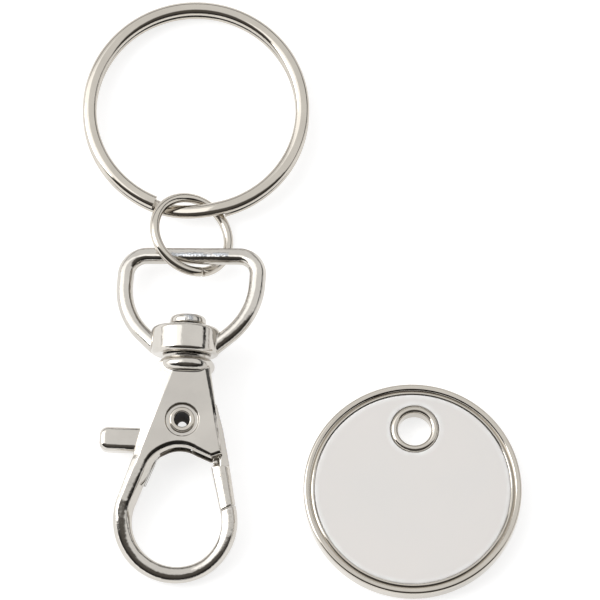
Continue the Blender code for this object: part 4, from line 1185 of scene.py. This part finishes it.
class Nodes:
    """The nodes of a material or a world."""

    def __init__(self, owner):
        owner.use_nodes = True
        self.nodes = owner.node_tree.nodes
        self.links = owner.node_tree.links

    def feed(self, node, inputs):
        """Sets inputs of a node to plain values, or links other nodes' outputs to them."""
        for name, value in inputs.items():
            if isinstance(value, bpy.types.NodeSocket):
                self.links.new(value, node.inputs[name])
            else:
                node.inputs[name].default_value = value

    def add(self, kind, output, inputs=None, **settings):
        node = self.nodes.new(kind)
        for name, value in settings.items():
            setattr(node, name, value)
        self.feed(node, inputs or {})
        return node.outputs[output]

    def math(self, operation, *values, clamped=False):
        inputs = dict(enumerate(values))
        return self.add("ShaderNodeMath", "Value", inputs, operation=operation, use_clamp=clamped)

    def mix(self, share, first, second, kind="RGBA"):
        """Two values or outputs, from the first at 0 to the second at 1."""
        inputs = {"Factor": share, "A": first, "B": second}
        return self.add("ShaderNodeMix", "Result", inputs, data_type=kind)

    def mapped(self, value, low, high, start, end, kind="LINEAR"):
        inputs = {"Value": value, "From Min": start, "From Max": end, "To Min": low, "To Max": high}
        return self.add("ShaderNodeMapRange", "Result", inputs, interpolation_type=kind)

    def noise(self, scale, detail):
        inputs = {"Scale": scale, "Detail": detail, "Vector": self.add("ShaderNodeTexCoord", "Object")}
        return self.add("ShaderNodeTexNoise", "Fac", inputs)

    def patchy(self, grain, low=0, high=1):
        return self.mapped(self.noise(*grain), low, high, *NOISE_LIMITS)

    def marked(self, name):
        """What a mesh's own attribute says."""
        return self.add("ShaderNodeAttribute", "Fac", attribute_name=name)


def surface(name):
    """A new material, with its nodes and its shader."""
    made = bpy.data.materials.new(name)
    nodes = Nodes(made)
    return made, nodes, nodes.nodes["Principled BSDF"]


def nickel(name, color, gloss, relief, waves):
    """Bright nickel plate: warm grey, faintly tarnished and wavy, and sparkling where left as cast."""
    made, nodes, shader = surface(name)
    deeper = tuple(value * TARNISH for value in color[:3]) + (1,)
    plated = nodes.mix(nodes.patchy(TARNISH_NOISE), color, deeper)
    smooth = nodes.patchy(GLOSS_NOISE, *gloss)
    ragged = nodes.mapped(nodes.noise(*RAGGED_NOISE), *RAGGED_SHARE, *RAGGED_LIMITS)
    as_cast = nodes.math("MULTIPLY", nodes.marked("as_cast"), ragged, clamped=True)
    rough = nodes.patchy(SPECKLE_NOISE, *AS_CAST_ROUGHNESS)
    speckle = nodes.patchy(SPECKLE_NOISE, 0, AS_CAST_RELIEF)
    height = nodes.math("MULTIPLY_ADD", speckle, as_cast, nodes.noise(*waves))
    bump = {"Strength": relief, "Distance": WAVE_DEPTH, "Height": height}
    nodes.feed(shader, {
        "Base Color": nodes.mix(as_cast, plated, AS_CAST_COLOR),
        "Roughness": nodes.mix(as_cast, smooth, rough, "FLOAT"),
        "Metallic": 1,
        "Normal": nodes.add("ShaderNodeBump", "Normal", bump),
    })
    return made


def painted_shade_bore():
    """The rivet's inside, painted dark brown: painted shade for the bore, which lies in shadow."""
    made, nodes, shader = surface("bore_painted_shade")
    # Painted shade: dark browns where the bore lies in shadow.
    painted_shade = nodes.mix(nodes.patchy(BORE_NOISE), *BORE_SHADE_COLORS)
    nodes.feed(shader, {"Base Color": painted_shade, "Metallic": BORE_METALLIC, "Roughness": BORE_ROUGHNESS})
    return made


def enamel():
    """Warm white enamel, paler where it climbs the rim and the eyelet."""
    made, nodes, shader = surface("satin_enamel")
    ground = nodes.mix(nodes.patchy(ENAMEL_NOISE), *ENAMEL_COLORS)
    wander = nodes.patchy(CLIMB_NOISE, *CLIMB_SHARE)
    climb = nodes.math("MULTIPLY", nodes.marked("climb"), wander, clamped=True)
    nodes.feed(shader, {
        "Base Color": nodes.mix(climb, ground, ENAMEL_EDGE_COLOR),
        "Roughness": nodes.patchy(ENAMEL_GLOSS_NOISE, *ENAMEL_ROUGHNESS),
    })
    return made


def spring_steel():
    made, nodes, shader = surface("spring_steel")
    roughness = nodes.patchy(SPRING_NOISE, *SPRING_ROUGHNESS)
    nodes.feed(shader, {"Base Color": SPRING_COLOR, "Metallic": 1, "Roughness": roughness})
    return made


# Studio

def light_world():
    """What the metal reflects: tent, window, seam, strip and room. The camera sees it white."""
    world = bpy.data.worlds.new("studio")
    bpy.context.scene.world = world
    nodes = Nodes(world)
    parts = nodes.nodes.new("ShaderNodeSeparateXYZ")
    nodes.feed(parts, {0: nodes.add("ShaderNodeTexCoord", "Generated")})
    x, y, z = parts.outputs

    def ramp(value, edge):
        return nodes.mapped(value, 0, 1, *edge, "SMOOTHSTEP")

    def both(first, second):
        return nodes.math("MULTIPLY", first, second)

    lateral = nodes.math("ARCTAN2", x, z)
    upward = nodes.math("ARCTAN2", y, z)
    bearing = nodes.math("ARCTAN2", nodes.math("ABSOLUTE", x), both(y, -1))
    window = both(ramp(x, WINDOW_EDGE), ramp(y, WINDOW_BACK))
    seam = both(ramp(upward, SEAM_NEAR), ramp(upward, SEAM_FAR))
    strip = both(ramp(lateral, STRIP_NEAR), ramp(lateral, STRIP_FAR))
    room = both(both(ramp(y, ROOM_EDGE), ramp(bearing, ROOM_BEARING)), ramp(z, ROOM_FOOT))
    shown = nodes.mix(window, TENT, nodes.mix(ramp(z, WINDOW_FOOT), WINDOW_LOW, WINDOW))
    shown = nodes.mix(ramp(z, HORIZON_BAND), HORIZON, shown)
    shown = nodes.mix(seam, shown, SEAM)
    shown = nodes.mix(strip, shown, ROOM_LOW)
    shown = nodes.mix(room, shown, nodes.mix(ramp(z, ROOM_RISE), ROOM_LOW, ROOM_HIGH))
    seen = nodes.add("ShaderNodeLightPath", "Is Camera Ray")
    nodes.feed(nodes.nodes["Background"], {"Color": nodes.mix(seen, shown, WHITE)})


def facing(way):
    """Turns a lamp's or a camera's -Z along the way."""
    return way.to_track_quat("-Z", "Y").to_matrix().to_4x4()


def add_lamp():
    lamp = bpy.data.lights.new("key", "AREA")
    lamp.shape = "DISK"
    lamp.size = LAMP_SIZE
    lamp.energy = LAMP_ENERGY
    add_object("key", lamp, Matrix.Translation(LAMP_PLACE) @ facing(-LAMP_PLACE))


def add_floor():
    low = min(CAD_BOX[0][2], 0)
    mesh = bpy.data.meshes.new("floor")
    corners = [(x * FLOOR_HALF, y * FLOOR_HALF, low) for x, y in ((-1, -1), (1, -1), (1, 1), (-1, 1))]
    mesh.from_pydata(corners, [], [(0, 1, 2, 3)])
    made, nodes, shader = surface("pale_floor")
    lift = 0
    for ray, strength in FLOOR_LIFTS:
        lift = nodes.math("MULTIPLY_ADD", nodes.add("ShaderNodeLightPath", ray), strength, lift)
    nodes.feed(shader, {
        "Base Color": FLOOR,
        "Roughness": FLOOR_ROUGHNESS,
        "Specular IOR Level": FLOOR_SHEEN,
        "Emission Color": WHITE,
        "Emission Strength": lift,
    })
    mesh.materials.append(made)
    add_object("floor", mesh)


def add_camera():
    """The camera looks down on the table from the near side, and is turned a little about its own axis."""
    target = CLASP_PLACE.translation.copy()
    target.z = TABLE_Z
    target += CAMERA_TARGET
    back = Vector((0, -cos(CAMERA_ELEVATION), sin(CAMERA_ELEVATION)))
    camera = bpy.data.cameras.new("camera")
    camera.lens = CAMERA_LENS
    camera.clip_start, camera.clip_end = CAMERA_CLIP
    turn = facing(-back) @ Matrix.Rotation(CAMERA_ROLL, 4, "Z")
    place = Matrix.Translation(target + back * CAMERA_DISTANCE) @ turn
    bpy.context.scene.camera = add_object("camera", camera, place)


def dress(piece, body, slot, node, *surfaces):
    """Gives a piece its materials, takes it to its body and hides the node that it replaces. Its slot is
    not used.
    """
    mesh = piece.data
    kept = [face.material_index for face in mesh.polygons]
    mesh.materials.clear()
    for made in surfaces:
        mesh.materials.append(made)
    mesh.polygons.foreach_set("material_index", kept)
    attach(piece, body)
    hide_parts(node)


def main():
    wire = nickel("nickel_on_wire", *WIRE_FINISH)
    casting = nickel("nickel_on_casting", *CASTING_FINISH)
    dress(make_split_ring(), "key_ring", "nickel_wire", "split_ring", wire)
    dress(make_jump_ring(), "link", "nickel_wire", "jump_ring", wire)
    dress(make_swivel_eye(), "eye", "nickel_casting", "swivel_eye", casting)
    dress(make_clasp_body(), "clasp", "nickel_casting", "clasp_body", casting)
    dress(make_gate(), "gate", "nickel_casting", "gate_lever", casting)
    dress(make_rivet(), "clasp", "nickel_wire", "pivot_rivet", wire, painted_shade_bore())
    dress(make_spring(), "clasp", "spring_wire", "gate_spring", spring_steel())
    dress(make_coin(), "coin", "nickel_casting", "coin_body", wire)
    dress(make_inlay(), "coin", "enamel", "coin_inlay", enamel())
    light_world()
    add_lamp()
    add_floor()
    add_camera()
    bpy.context.scene.view_settings.view_transform = "Standard"


main()
